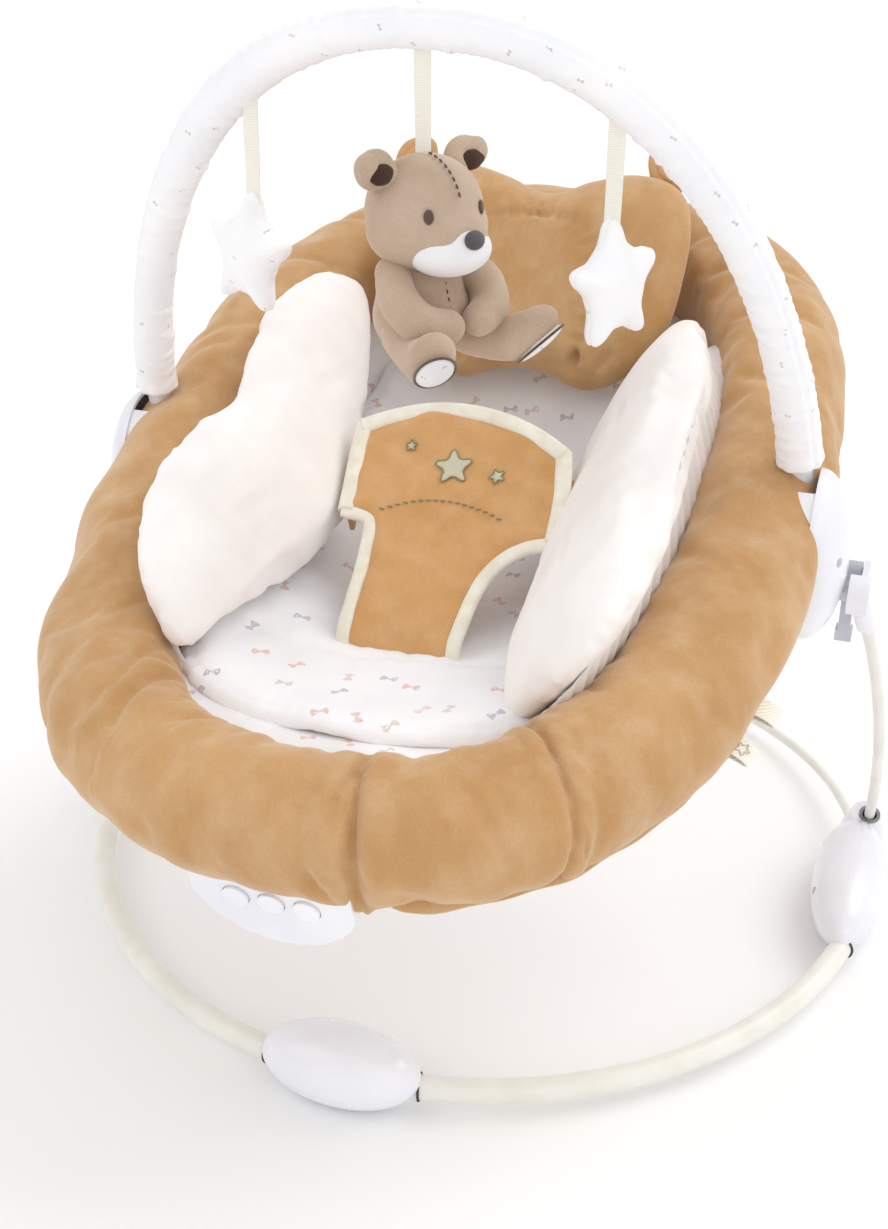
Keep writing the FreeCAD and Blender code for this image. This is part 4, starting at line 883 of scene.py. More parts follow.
def make_liner():
    outline = curve_through(with_mirror(LINER_HALF), 150, closed=True)

    def on_bowl(points):
        w, u, z = points.T
        lift = 9 + 1.6 * lumps(points * (1, 1, 0), 70, 11) + 0.9 * lumps(points * (1, 1, 0), 30, 12)
        return seat_point(np.stack([w, u, bowl(w, u) + lift + z], 1))

    liner = pillow("quilted_liner", outline, 8.0, 13.0, 5.0, on_bowl)
    inflate(liner, 3.0, 2.5, 10, slack=0.02)
    relax(liner, 1)
    refine(liner)
    height = bowl(*(outline.T * 0.96)) + 15
    border = seat_point(np.stack([outline[:, 0] * 0.95, outline[:, 1] * 0.97, height], 1))
    sew(liner, border, 1.2, 2.6, 0.5, 11, closed=True)
    for offset in (-150, -60, 30, 120):
        row = np.linspace(-118, 118, 40)
        line = np.stack([row, offset + 6 * np.sin(row / 37), bowl(row, offset) + 17], 1)
        sew(liner, seat_point(line), 1.6, 5.0, 0.6, 17)
    return dress(liner, "seat", QUILT, ("liner_pad",))


make_sling()
make_liner()


# ---------------------------------------------------------------- bolsters

# Outer and inner edge of a bolster from its front tip to its head end: across, up the seat, out of it
BOLSTER_OUTER = {
    -1: [(-112, -212, 6), (-138, -190, 41), (-152, -160, 62), (-160, -118, 72), (-157, -70, 75),
         (-149, -30, 69), (-156, 15, 76), (-160, 60, 78), (-156, 105, 68), (-148, 138, 56), (-132, 158, 36)],
    1: [(104, -210, -2), (142, -208, 50), (160, -175, 76), (166, -120, 82), (165, -60, 78), (162, 0, 73),
        (160, 50, 68), (154, 90, 60), (147, 115, 52), (136, 145, 40), (126, 160, 28)],
}
BOLSTER_INNER = {
    -1: [(-104, -206, 0), (-98, -169, -10), (-90, -130, -22), (-84, -100, -30), (-79, -60, -35),
         (-78, -25, -36), (-84, 20, -28), (-94, 60, -14), (-104, 100, 0), (-114, 135, 14), (-124, 156, 28)],
    1: [(92, -205, -12), (84, -160, -24), (80, -118, -32), (76, -75, -42), (72, -30, -48), (72, 15, -48),
        (78, 60, -38), (88, 100, -22), (98, 130, -8), (110, 150, 8), (118, 160, 20)],
}


def make_bolster(side):
    rows, columns = 80, 34
    outer = curve_through(BOLSTER_OUTER[side], rows)
    inner = curve_through(BOLSTER_INNER[side], rows)
    t = np.linspace(0, 1, rows)[:, None]
    s = np.linspace(0, 1, columns)[None, :]
    chord = outer - inner
    tangent = np.gradient((outer + inner) / 2, axis=0)
    face = np.cross(chord, tangent)
    face /= np.linalg.norm(face, axis=1, keepdims=True)
    face *= np.where(face[:, 2:] < 0, -1, 1)
    flat = inner[:, None] + s[..., None] * chord[:, None]
    crown = np.clip(4 * s * (1 - s), 0, 1) ** 0.55 * np.clip(4 * t * (1 - t), 0, 1) ** 0.35
    front = flat + (21 * crown)[..., None] * face[:, None]
    back = flat - (13 * crown)[..., None] * face[:, None]
    points = seat_point(np.vstack([front.reshape(-1, 3), back.reshape(-1, 3)]))
    name = SIDE_NAME[side]
    bolster = new_piece("bolster_cloth_" + name, points, between_skins(rows, columns))
    remesh(bolster, 5.0)
    relax(bolster, 7)
    inflate(bolster, 4.0, 7.0, 20, slack=0.03)
    refine(bolster)
    border = seat_point(np.vstack([outer[3:-3], inner[-4:3:-1]]))
    sew(bolster, border, 1.0, 2.6, 0.12, 13, closed=True)
    for u in (-120, 20):
        start = np.array([side * 96, u, -16])
        end = np.array([side * 148, u + 26, 54])
        line = curve_through([start, (start + end) / 2 + (-side * 16, 0, 14), end], 14)
        sew(bolster, seat_point(line), 1.8, 7.0, 0.7, 19)
    return dress(bolster, "seat", FLEECE, ("bolster_" + name,))


def make_bolster_skirt(side):
    """Gathered cotton wall between a bolster's outer edge and the roll."""
    rows, columns = 260, 9
    top = curve_through(BOLSTER_OUTER[side], rows)
    theta = np.linspace(0, math.pi, 600)
    ring = roll_centre(theta) - (0, SEAT_Y, SEAT_Z)
    c, d = math.cos(SEAT_TILT), math.sin(SEAT_TILT)
    ring = np.stack([ring[:, 0], ring[:, 1] * c + ring[:, 2] * d, ring[:, 2] * c - ring[:, 1] * d], 1)
    foot = np.stack([np.interp(top[:, 1], ring[:, 1], ring[:, k]) for k in range(3)], 1)
    foot[:, 0] = side * (foot[:, 0] - 36)
    foot[:, 2] += 13
    t = np.linspace(0, 1, rows)[:, None]
    mid_run = np.clip(4 * t * (1 - t), 0, 1) ** 0.5
    top = top - np.array([side * 5, 0, 12]) * (1.6 - 0.6 * mid_run)
    s = np.linspace(0, 1, columns)[None, :, None]
    wall = top[:, None] * (1 - s) + foot[:, None] * s
    k = np.arange(rows)[:, None]
    fold = 1.5 * np.sin(k * 0.83 + 0.6 * np.sin(k * 0.11)) * np.sin(math.pi * np.clip(s[..., 0], 0.08, 0.92))
    wall[..., 0] += side * fold
    wall[..., 2] += 0.4 * fold - 4 * np.sin(math.pi * s[..., 0])
    under = wall - (side * 1.5, 0, 4.5)
    points = seat_point(np.vstack([wall.reshape(-1, 3), under.reshape(-1, 3)]))
    skirt = new_piece("bolster_skirt_" + SIDE_NAME[side], points, between_skins(rows, columns))
    outward(skirt)
    # Its greyer cotton is painted shade
    return dress(skirt, "seat", SHADED_SLING_QUILT)


for side in SIDES:
    make_bolster(side)
    make_bolster_skirt(side)


# ---------------------------------------------------------------- headrest

HEAD_HALF = [(0, 8), (22, 4), (42, -2), (62, 0), (82, 11), (99, 30), (109, 56), (113, 88), (113, 118),
             (106, 143), (86, 158), (60, 163), (34, 160), (14, 153), (0, 150)]
HORSESHOE_HALF = [(0, 123), (34, 117), (48, 98), (51, 66), (47, 30), (40, 0)]
HORSESHOE = HORSESHOE_HALF[::-1] + [(-x, y) for x, y in HORSESHOE_HALF[1:]]
HEAD_WRAP = 0.0016
head_plane = sloped_plane((107, 370), (76, 130))


def make_headrest():
    outline = curve_through(with_mirror(HEAD_HALF), 140, closed=True)

    def place(points):
        x, s, z = points.T
        wrap = HEAD_WRAP * x**2
        return head_plane(np.stack([x, s, z - 19 + wrap], 1))

    pad = pillow("headrest_cloth", outline, 19.0, 34.0, 4.5, place, 0.12)
    inflate(pad, 4.0, 5.0, 16, slack=0.02)
    relax(pad, 1)
    refine(pad)

    def on_face(line, lift=4.0):
        p = np.asarray(line, float)
        return head_plane(np.column_stack([p, HEAD_WRAP * p[:, 0] ** 2 + lift - 2.0]))

    sew(pad, on_face(curve_through(HORSESHOE, 120)), 8.0, 3.2, 1.3, 12)
    sew(pad, on_face(curve_through([(-40, 14), (0, 11), (40, 14)], 24)), 3.0, 3.5, 0.5, 12)
    for x, low, high in ((-9, 128, 150), (0, 125, 150), (9, 128, 150)):
        sew(pad, on_face(curve_through([(x, low), (x * 1.2, high)], 8), 2.0), 3.0, 2.6)
    for x, lean in ((-58, -12), (58, 12), (-40, -6), (40, 6)):
        sew(pad, on_face(curve_through([(x, 0), (x + lean, 24)], 8), 0.0), 3.2, 3.4)
    return dress(pad, "seat", TAN, ("headrest_pillow",))


def make_headrest_ear(side):
    """Folded ear: a cupped outer skin with a darker lining."""
    name = SIDE_NAME[side]
    outline = [(0, 0), (10, -3), (20, 4), (25, 18), (20, 33), (6, 40), (-9, 36), (-17, 22), (-12, 6)]
    outline = curve_through(outline, 60, closed=True)

    def place(points):
        x, s, z = points.T
        cup = 0.022 * ((x - 4) ** 2) - 5
        across, rise = (86, 152) if side > 0 else (103, 140)
        return head_plane(np.stack([side * (across + 0.8 * x), rise + 1.1 * s, z - 15 + cup], 1))

    ear = pillow("headrest_ear_cloth_" + name, outline, 6.0, 8.0, 2.6, place)
    inflate(ear, 3.0, 2.0, 8)
    refine(ear)
    lining = pillow("headrest_ear_lining_" + name, outline * 0.62 + (1.6, 7), 2.2, 4.0, 2.0,
                    lambda p: place(p + (0, 0, 6.0)))
    refine(lining)
    dress(lining, "seat", TAN_INNER)
    return dress(ear, "seat", TAN, ("headrest_ears",) if side < 0 else ())


make_headrest()
for side in SIDES:
    make_headrest_ear(side)


# ---------------------------------------------------------------- harness

# Half outlines, from the foot of the panel up to the middle of its top edge
LEG_CUT = {
    1: [(34, -16), (35.5, 24), (39, 52), (48, 71), (62, 83), (82, 89)],
    -1: [(-36, -20), (-38, 26), (-40, 60), (-43, 84), (-48, 91), (-65, 93)],
}
WING_SIDE = {
    1: [(82, 89), (81, 112), (78, 136), (74, 155)],
    -1: [(-65, 93), (-67, 115), (-69, 138), (-70, 159)],
}
TOP_ARCH = [(-70, 159), (-48, 171), (-24, 179), (2, 181), (28, 177), (52, 168), (74, 155)]
harness_plane = sloped_plane((-138, 269), (145, 109))


def harness_sag(x, s):
    """The panel hangs in a shallow curve between its foot and the waist band."""
    return -6 * np.sin(math.pi * np.clip(s / 180, 0, 1)) + 3 + 0.0007 * x**2 - 24 * smooth_step((12 - s) / 34)


def harness_wave(x, s):
    spots = np.stack([x, s, 0 * x], 1)
    return 1.4 * lumps(spots, 60, 21) + 0.8 * lumps(spots * (1, 1.6, 0), 26, 22)


def on_harness(points, lift=0.0):
    p = np.atleast_2d(np.asarray(points, float))
    return harness_plane(np.column_stack([p[:, :2], harness_sag(p[:, 0], p[:, 1]) + lift]))


def tape(name, line, width, thick, lift):
    """Folded binding along an edge of the harness panel."""
    path = on_harness(line, lift)
    away = harness_plane([(0, 0, 1)])[0] - harness_plane([(0, 0, 0)])[0]
    return tube(name, path, width / 2, thick / 2, up=away, around=16, square=3.0)


def make_harness():
    left, right = (np.vstack([curve_through(LEG_CUT[side], 26), curve_through(WING_SIDE[side], 14)[1:]])
                   for side in SIDES)
    outline = np.vstack([right, curve_through(TOP_ARCH, 40)[-2:0:-1], left[::-1]])
    centre = np.array([0, 108])
    inner = centre + (outline - centre) * 0.97

    def place(points):
        x, s, z = points.T
        return harness_plane(np.stack([x, s, z + harness_sag(x, s) + harness_wave(x, s)], 1))

    panel = pillow("harness_panel_cloth", inner, 4.0, 8.0, 3.2, place)
    inflate(panel, 3.0, 2.0, 10, slack=0.02)
    relax(panel, 1)
    refine(panel)
    dress(panel, "seat", TAN_INNER, ("harness_panel",))
    tapes = []
    for side in SIDES:
        leg = curve_through(LEG_CUT[side], 60)
        wing = curve_through(WING_SIDE[side], 30)
        tapes.append(tape("leg", leg + (side * 1.0, 0), 9.5, 6.5, 0.8))
        tapes.append(tape("wing", wing + (side * -1.5, 0), 11.5, 7.5, 1.2))
    tapes.append(tape("top", curve_through(TOP_ARCH, 90) - (0, 3), 12.0, 7.5, 1.4))
    for piece in tapes:
        piece.data.materials.append(BINDING)
    binding = merge("harness_binding", tapes)
    dress(binding, "seat", BINDING)


def make_waist_band(side):
    """Band that comes out of the wing's casing and dives behind the bolster."""
    start = 70 if side > 0 else 58
    dive = ((0, -3), (8, -6), (13, -17), (16, -36))
    line = curve_through([(side * (start + out), 121 - 0.2 * out, drop) for out, drop in dive], 26)
    path = harness_plane(line + np.column_stack([np.zeros((26, 2)), harness_sag(line[:, 0], line[:, 1])]))
    over = np.array([0, 109, -145.0]) / 181.4
    band = tube("waist_band_cloth_" + SIDE_NAME[side], path, 21, 2.4, up=-over, around=24, square=5.0)
    stands_for = ("waist_bands",) if side < 0 else ()
    return dress(band, "seat", TAN_INNER, stands_for)


def star_outline(size, depth=0.22, count=70):
    """Five soft points; depth is how far the outline falls in between them."""
    a = np.linspace(0, 2 * math.pi, count, endpoint=False)
    r = size * (1 - depth - 0.05 + depth * np.cos(5 * a) + 0.05 * np.cos(10 * a))
    return np.stack([r * np.sin(a), r * np.cos(a)], 1)


def lay_on_panel(piece, panel, lift):
    """Moves a thin piece that was made at one height over the harness onto the cloth of its panel."""
    corners = [v.co.copy() for v in panel.data.vertices]
    tree = BVHTree.FromPolygons(corners, [p.vertices[:] for p in panel.data.polygons])
    way = Vector(on_harness([(0, 90)], 1)[0] - on_harness([(0, 90)], 0)[0]).normalized()
    points = coordinates(piece)
    for i, point in enumerate(points):
        spot = tree.ray_cast(Vector(point) * MM + way * 0.03, -way, 0.06)[0]
        if spot is not None:
            points[i] = np.array(spot) / MM + np.array(way) * (harness_height(point) - lift + 0.35)
    move_to(piece, points)


def harness_height(point):
    """Height of a point over the harness panel's middle surface."""
    origin, reach, climb = (harness_plane([v])[0] for v in ((0, 0, 0), (0, 1, 0), (0, 0, 1)))
    local = point - origin
    s, n = local @ (reach - origin), local @ (climb - origin)
    return n - harness_sag(np.array(point[0]), np.array(s))


def make_embroidery():
    """A plain star, two little ones and an arc of running stitch, sewn into the panel."""
    lift, upright = 4.4, (0, -0.6, 0.8)
    patches = []
    for x, s, size, turn in ((2, 134, 13, 0.2), (33, 131, 5.5, 0.5), (-31, 146, 4, 0.1)):
        shape = star_outline(size)
        c, d = math.cos(turn), math.sin(turn)
        shape = shape @ np.array([[c, d], [-d, c]]) + (x, s)
        patch = pillow("patch", shape, 0.9, 1.4, 0.8, lambda p: on_harness(p[:, :2], lift) + p[:, 2:] * upright)
        patch.data.materials.append(CREAM_THREAD)
        outline = tube("outline", on_harness(shape, 4.9), 0.55, 0.55, up=upright, closed=True)
        outline.data.materials.append(SAGE_THREAD)
        patches += [patch, outline]
    for k in range(17):
        x = -40 + 5 * k
        s = 108 - 0.006 * (x - 4) ** 2
        dash = tube("dash", on_harness([(x, s), (x + 1.6, s + 0.2), (x + 3.2, s)], 4.8), 0.55, 0.45, up=upright)
        dash.data.materials.append(SAGE_THREAD)
        patches.append(dash)
    motif = merge("harness_embroidery", patches)
    lay_on_panel(motif, bpy.data.objects["harness_panel_cloth"], lift)
    dress(motif, "seat", None)


make_harness()
for side in SIDES:
    make_waist_band(side)
make_embroidery()


# ---------------------------------------------------------------- toy arch

def arch_point(angle):
    """Centre line of the arch; angle 0 is its right foot and pi its left one."""
    c, s = np.cos(angle), np.abs(np.sin(angle))
    x = ARCH_HALF_W * np.sign(c) * np.abs(c) ** 0.9
    h = ARCH_HEIGHT * s**0.9
    return np.stack([x, ARCH_BASE[0] - h * math.sin(ARCH_LEAN), ARCH_BASE[1] + h * math.cos(ARCH_LEAN)], -1)


ARCH_AXIS = np.array([0, math.cos(ARCH_LEAN), math.sin(ARCH_LEAN)])


def make_arch_cover():
    """Cotton sleeve, gathered along the bend, with raw hems at both ends."""
    fine = np.linspace(0.02, math.pi - 0.02, 4000)
    line = arch_point(fine)
    length = np.concatenate([[0], np.cumsum(np.linalg.norm(np.diff(line, axis=0), axis=1))])
    covered = np.flatnonzero(line[:, 2] > COVER_LOW)
    rows, columns = 560, 44
    along = np.linspace(length[covered[0]], length[covered[-1]], rows)
    path = np.stack([np.interp(along, length, line[:, k]) for k in range(3)], 1)
    tangent, side, over = frames_along(path, False, ARCH_AXIS)
    angle = np.linspace(0, 2 * math.pi, columns, endpoint=False)
    a, l = np.meshgrid(angle, along, indexing="xy")
    rng = np.random.default_rng(5)
    wrinkle = np.zeros(a.shape)
    for _ in range(460):
        spot = rng.uniform(along[0], along[-1])
        turn = rng.uniform(0, 2 * math.pi)
        tilt = rng.normal(0, 5.0)
        width = rng.uniform(1.5, 3.0)
        spread = rng.uniform(0.35, 1.1)
        around = (a - turn + math.pi) % (2 * math.pi) - math.pi
        height = rng.uniform(-0.9, 1.3)
        wrinkle += height * np.exp(-(((l - spot - tilt * around) / width) ** 2) - (around / spread) ** 2)
    seam = (a - 3.9 + math.pi) % (2 * math.pi) - math.pi
    wrinkle -= 1.0 * np.exp(-((seam * COVER_R / 1.6) ** 2))
    beside_seam = np.exp(-((np.abs(seam) * COVER_R - 3.2) / 1.6) ** 2)
    wrinkle += 0.8 * beside_seam * (0.6 + 0.5 * np.sin(l / 2.1) * np.sin(l / 7.7))
    hem = np.minimum(l - along[0], along[-1] - l)
    wrinkle += 0.8 * np.exp(-((hem - 3) / 3) ** 2) + 0.5 * np.sin(a * 9) * np.exp(-(hem / 8) ** 2)
    gathers = np.sin(l / 1.15 + 1.6 * np.sin(l / 9.7) + 1.2 * np.sin(2 * a)) * (0.5 + 0.5 * np.sin(l / 31 + a))
    gathers = 0.35 * gathers * (0.35 + 0.65 * np.cos(a - math.pi) ** 2)
    radius = COVER_R - 1.0 + 0.5 * np.sin(l / 43) + wrinkle * 0.8 + gathers
    points = section(path, radius, a, side, over)
    ends = [0, -1]
    inner = section(path[ends], 7.4, a[ends], side[ends], over[ends])
    tuck = inner + np.array([[tangent[0] * 10], [-tangent[-1] * 10]])
    stack = np.concatenate([tuck[:1], inner[:1], points, inner[1:], tuck[1:]])
    cover = new_piece("arch_sleeve", stack.reshape(-1, 3), lattice(len(stack), columns, False, True))
    unroll(cover, columns, COVER_R * 2 * math.pi / columns, (along[-1] - along[0]) / rows)
    outward(cover)
    return dress(cover, "play_arch", COVER, ("arch_cover",))


def make_arch_boot(side):
    """Moulded end of the arch between its sleeve and the hub."""
    heights = np.linspace(30, 96, 30)
    angle = np.arcsin((heights / ARCH_HEIGHT) ** (1 / 0.9))
    path = arch_point(angle if side > 0 else math.pi - angle)
    boot = tube("arch_boot_" + SIDE_NAME[side], path, 7.5, 7.5, up=ARCH_AXIS, around=28)
    return dress(boot, "play_arch", SHELL)


make_arch_cover()
for side in SIDES:
    make_arch_boot(side)


# ---------------------------------------------------------------- hanging toys

def arch_at(x):
    """Point of the arch centre line above a given place across."""
    angle = math.acos(np.sign(x) * (abs(x) / ARCH_HALF_W) ** (1 / 0.9))
    return arch_point(np.array(angle)), angle


def hang(name, x, low, width, body, stands_for):
    """Ribbon caught in the seam under the sleeve and sewn into a toy."""
    top, angle = arch_at(x)
    ahead = arch_point(np.array(angle + 0.01)) - arch_point(np.array(angle - 0.01))
    ahead /= np.linalg.norm(ahead)
    low = np.array(low, float)
    down = (low - top) / np.linalg.norm(low - top)
    across = np.cross(down, (1, 0, 0))
    start = top + down * (COVER_R - 4)
    bend = np.array([(0, 0), (0.3, 0.5), (0.65, -0.4), (1, 0)])
    route = curve_through([start + t * (low - start) + off * across for t, off in bend], 40)
    twist = np.linspace(0, 0.25, 40)[:, None]
    up = np.cross((low - top), (1, 0, 0)) * (1 - twist) + 60 * ahead * twist
    ribbon = tube(name, route, width / 2, 0.5, up=up, around=16, square=6.0)
    return dress(ribbon, body, RIBBON, stands_for)


# Yaw and tilt of each star in degrees
STAR_POSE = {-1: (-18, -9), 1: (57, 6)}


def make_star(side):
    name = SIDE_NAME[side]
    x = side * STAR_X
    turn, tilt = np.radians(STAR_POSE[side])
    top, _ = arch_at(x)
    head = np.array([x, top[1] - 4, STAR_TOP])
    shape = star_outline(37, 0.17) * (0.88, 1.06)
    c, s = math.cos(turn), math.sin(turn)
    d, e = math.cos(tilt), math.sin(tilt)

    def place(points):
        px, pz, py = points.T
        qx, qz = px * d - (pz - 34) * e, px * e + (pz - 34) * d
        return np.stack([head[0] + qx * c - py * s, head[1] + qx * s + py * c, head[2] + qz], 1)

    star = pillow("star_cloth_" + name, shape, 11.0, 17.0, 2.4, place, 0.15)
    inflate(star, 5.0, 3.0, 12, slack=0.02)
    refine(star)
    rim = place(np.column_stack([shape, np.zeros(len(shape))]))
    sew(star, rim, 0.6, 1.6, 0.1, 6, closed=True)
    dress(star, "star_" + name, STAR_COTTON, ("star_" + name,))
    hang("star_ribbon_" + name, x, head + (0, 0, -2), RIBBON_WIDTH, "star_" + name, ("star_strap_" + name,))


for side in SIDES:
    make_star(side)


# The bear's own axes: forward (the way it looks), its left, and up
BEAR_FRAME = np.array([
    [math.sin(BEAR_TURN), -math.cos(BEAR_TURN), 0],
    [math.cos(BEAR_TURN), math.sin(BEAR_TURN), 0],
    [0, 0, 1],
])
BEAR_AT = np.array([-1.0, TOY_Y, 0.0])


def bear_point(points):
    return np.atleast_2d(np.asarray(points, float)) @ BEAR_FRAME + BEAR_AT


def limb(joints, radii):
    """Chain of overlapping balls for a stuffed arm or leg."""
    count = 9
    path = curve_through(joints, count)
    size = np.interp(np.linspace(0, 1, count), np.linspace(0, 1, len(radii)), radii)
    return [ball(p, (r, r, r), rows=12, columns=16) for p, r in zip(path, size)]


def facing(direction):
    """Rows of a frame whose first axis is the given direction."""
    f = np.asarray(direction, float)
    f = f / np.linalg.norm(f)
    r = np.cross((0, 0, 1), f)
    r /= np.linalg.norm(r)
    return np.array([f, r, np.cross(f, r)])


def small_egg(name, centre, semi, direction, material, rows=14, columns=20):
    """Little fitted part such as a nose or a stitched eye, in the bear's axes."""
    points, faces = ball((0, 0, 0), semi, facing(direction), rows, columns)
    piece = new_piece(name, bear_point(points + np.asarray(centre, float)), faces)
    outward(piece)
    piece.data.materials.append(material)
    return piece


def make_bear():
    skull = [ball((2, 0, 535), (32, 37, 31)), ball((5, 0, 524), (32, 39, 24)), ball((20, 0, 521), (24, 27, 19))]
    head = plush("bear_head_cloth", skull, 2.2, 10, bear_point, 1.5)
    dress(head, "bear", TAUPE, ("bear_head",))
    wedge = [ball((24, 0, 515), (23, 27, 15.5)), ball((34, 0, 520), (13, 15, 11))]
    muzzle = plush("bear_muzzle", wedge, 1.8, 8, bear_point, 0.8)
    dress(muzzle, "bear", WHITE_PLUSH)
    for side, name in ((-1, "right"), (1, "left")):
        cup = [ball((-2, 33 * side, 560), (7, 14, 12)), ball((1, 41 * side, 562), (7, 8, 9)),
               ball((0, 27 * side, 556), (8, 9, 9))]
        ear = plush("bear_ear_" + name, cup, 1.7, 6, bear_point, 0.6)
        dress(ear, "bear", TAUPE)
        hollow = [ball((5.6, 34 * side, 558.5), (3.2, 9, 6.5)), ball((5.4, 39 * side, 559), (2.8, 5, 5))]
        lining = plush("bear_ear_lining_" + name, hollow, 1.2, 4, bear_point)
        dress(lining, "bear", DARK_PLUSH)
    torso = [ball((-2, 0, 484), (25, 28, 34)), ball((0, 0, 472), (28, 32, 26)), ball((-1, 0, 500), (20, 24, 18))]
    body = plush("bear_body_cloth", torso, 2.2, 8, bear_point, 1.5)
    dress(body, "bear", TAUPE, ("bear_body",))
    arms = []
    for side in SIDES:
        joints = [(4, 26 * side, 501), (18, 33 * side, 489), (30, 27 * side, 477), (37, 12 * side, 474)]
        arms += limb(joints, (11, 12.5, 12.5, 10.5))
    arms = plush("bear_arms_cloth", arms, 2.0, 7, bear_point, 1.2)
    dress(arms, "bear", TAUPE, ("bear_arms",))
    legs, soles, welts = [], [], []
    for side in SIDES:
        joints = [(6, 19 * side, 464), (22, 25 * side, 459), (40, 33 * side, 459), (50, 37 * side, 463)]
        legs += limb(joints, (15, 14, 14, 14))
        way = np.array([0.62, 0.30 * side, -0.72])
        turn = facing(way)
        foot = np.array([50.0, 37.0 * side, 462.0]) + turn[2] * 5
        legs.append(ball(foot, (12, 14, 21), turn, 14, 20))
        sole = plush("sole", [ball(foot + turn[0] * 9.5, (3.6, 11.5, 18), turn, 14, 24)], 1.4, 3, bear_point)
        sole.data.materials.clear()
        sole.data.materials.append(SOLE_COTTON)
        soles.append(sole)
        a = np.linspace(0, 2 * math.pi, 60, endpoint=False)
        ring = np.outer(np.cos(a) * 11.6, turn[1]) + np.outer(np.sin(a) * 18.2, turn[2])
        ring = foot + turn[0] * 9.8 + ring
        welt = tube("welt", bear_point(ring), 0.8, 0.8, up=(turn[:1] @ BEAR_FRAME)[0], closed=True)
        welt.data.materials.append(BROWN_THREAD)
        welts.append(welt)
    legs = plush("bear_legs_cloth", legs, 2.0, 7, bear_point, 1.2)
    dress(legs, "bear", TAUPE, ("bear_legs",))
    dress(merge("bear_soles", soles + welts), "bear", None)
    marks = [small_egg("nose", (46, 0, 524), (3.4, 7.2, 5.6), (1, 0, 0.25), GREY_THREAD)]
    for side in SIDES:
        way = np.array([30.0, 20.0 * side, 4.0])
        marks.append(small_egg("eye", (29.5, 20 * side, 537), (1.3, 3.0, 4.2), way, BROWN_THREAD))
    for k in range(8):
        angle = math.radians(80 - 8.2 * k)
        c, s = math.cos(angle), math.sin(angle)
        spot = (2 + 33.4 * c, 0, 535 + 32.0 * s)
        marks.append(small_egg("stitch", spot, (0.8, 0.7, 1.7), (c, 0, s), BROWN_THREAD, 8, 10))
    for k in range(6):
        spot = (19.5 + 1.45 * k, 0, 499 - 4.6 * k)
        marks.append(small_egg("stitch", spot, (0.8, 0.6, 1.6), (1, 0, 0.3), BROWN_THREAD, 8, 10))
    dress(merge("bear_embroidery", marks), "bear", None)
    hang("bear_ribbon", 0.001, BEAR_AT + (1, 0, BEAR_TOP), BEAR_RIBBON_WIDTH, "bear", ("bear_strap",))


make_bear()


# ---------------------------------------------------------------- tags and small hardware

def make_tags():
    """Two short folded ribbon labels under the right side of the roll, one with a plain star."""
    tags = []
    for theta, starred in ((66.5, False), (60.5, True)):
        centre, side, up = (v[0] for v in roll_frames(np.radians([theta])))
        lean = math.radians(-14)
        out = math.cos(lean) * side + math.sin(lean) * up
        flat = -math.sin(lean) * side + math.cos(lean) * up
        root = centre + out * (ROLL_R + 1)
        route = curve_through([root + flat * 2, root + out * 8 + flat * 2.2, root + out * 14 + flat * 0.6,
                               root + out * 14 - flat * 0.8, root + out * 8 - flat * 1.4, root - flat * 2], 40)
        along = np.cross(out, flat)
        step = np.gradient(route, axis=0)
        step /= np.linalg.norm(step, axis=1, keepdims=True)
        tag = tube("tag", route, 7.2, 0.45, up=np.cross(step, along), around=16, square=7.0)
        tag.data.materials.append(RIBBON)
        tags.append(tag)
        if starred:
            shape = star_outline(4.6, count=40)
            points = root + out * 7.5 + flat * 3.0 + np.outer(shape[:, 0], along) + np.outer(shape[:, 1], out)
            ring = tube("print", points, 0.4, 0.3, up=flat, closed=True)
            ring.data.materials.append(CREAM_THREAD)
            tags.append(ring)
    labels = merge("ribbon_labels", tags)
    return dress(labels, "seat", None, ("side_tags",))


def make_gap_shade_rings():
    """Painted shade: dark rings standing in for the shadowed gaps where the front loop goes into its pods."""
    rims = []
    for degrees in (-100.0, -80.0, -166.5, -13.5):
        a = math.radians(degrees)
        middle = np.array([LOOP_R * math.cos(a), LOOP_Y + LOOP_R * math.sin(a), LOOP_Z])
        outwards, upwards = np.array([math.cos(a), math.sin(a), 0]), np.array([0, 0, 1.0])
        turn = np.linspace(0, 2 * math.pi, 48, endpoint=False)
        ring = middle + 8.7 * (np.outer(np.cos(turn), outwards) + np.outer(np.sin(turn), upwards))
        rims.append(tube("rim", ring, 0.8, 0.8, up=np.cross(outwards, upwards), closed=True))
    for rim in rims:
        rim.data.materials.append(GAP_SHADE)
    return dress(merge("loop_gap_shade_rings", rims), "base", None)


make_tags()
make_gap_shade_rings()


# ---------------------------------------------------------------- floor, light and camera

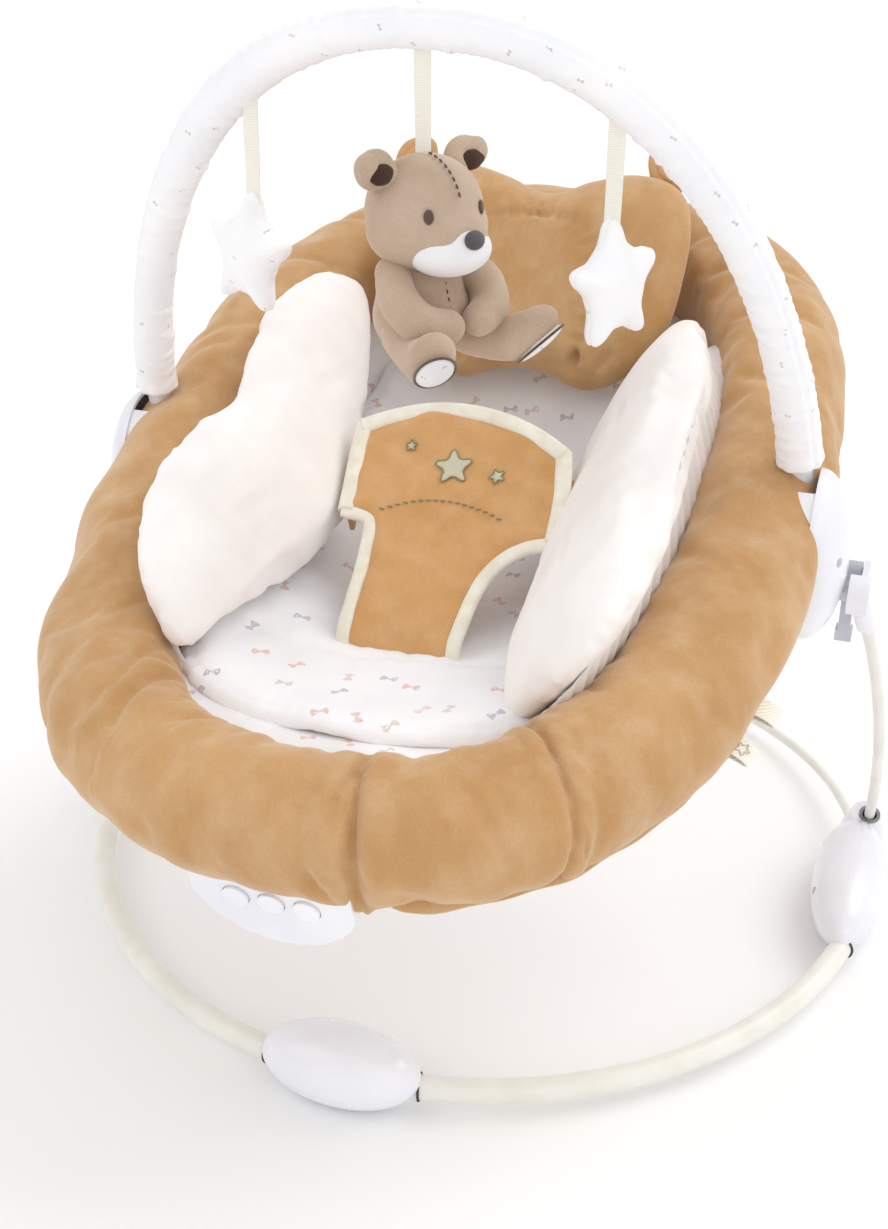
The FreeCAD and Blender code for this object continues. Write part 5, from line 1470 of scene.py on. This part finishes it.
def add_light(name, kind, energy, turn, place=(0, 0, 0), **settings):
    data = bpy.data.lights.new(name, kind)
    data.energy = energy
    for key, value in settings.items():
        setattr(data, key, value)
    light = bpy.data.objects.new(name, data)
    light.location = place
    light.rotation_euler = turn.to_euler()
    bpy.context.scene.collection.objects.link(light)


def area_light(name, place, size):
    """Round soft light that looks at the middle of the seat."""
    turn = (Vector((0, 0, 0.3)) - Vector(place)).to_track_quat("-Z", "Y")
    add_light(name, "AREA", 5, turn, place, shape="DISK", size=size)


def make_stage():
    corners = [(x * FLOOR_HALF, y * FLOOR_HALF, -0.5) for x, y in ((-1, -1), (1, -1), (1, 1), (-1, 1))]
    floor = new_piece("floor", corners, [(0, 1, 2, 3)])
    s = Shader("studio_floor", Roughness=0.9, Specular_IOR_Level=0.05, Base_Color=(0.96, 0.96, 0.963, 1))
    floor.data.materials.append(s.material)
    world = bpy.data.worlds.new("studio")
    bpy.context.scene.world = world
    world.use_nodes = True
    sky = world.node_tree.nodes["Background"].inputs
    sky["Color"].default_value = (1, 1, 1, 1)
    sky["Strength"].default_value = 0.91
    sun_turn = Vector((0.62, 0.5, 1.0)).to_track_quat("Z", "Y")
    add_light("window_light", "SUN", 0.8, sun_turn, angle=0.7)
    area_light("fill", (-1.6, -1.4, 1.9), 1.6)
    area_light("front", (1.9, -1.8, 1.6), 1.8)


CAMERA_AT = (0.3005, -0.9278, 0.7318)
CAMERA_TURN = math.radians(18.858)
CAMERA_DIP = math.radians(27.389)
CAMERA_LENS = 44.59


def make_camera():
    data = bpy.data.cameras.new("camera")
    data.lens = CAMERA_LENS
    data.sensor_width = 36
    camera = bpy.data.objects.new("camera", data)
    flat = math.cos(CAMERA_DIP)
    back = Vector((math.sin(CAMERA_TURN) * flat, -math.cos(CAMERA_TURN) * flat, math.sin(CAMERA_DIP)))
    camera.location = CAMERA_AT
    camera.rotation_euler = back.to_track_quat("Z", "Y").to_euler()
    bpy.context.scene.collection.objects.link(camera)
    bpy.context.scene.camera = camera


make_stage()
make_camera()
bpy.context.scene.view_settings.view_transform = "Standard"
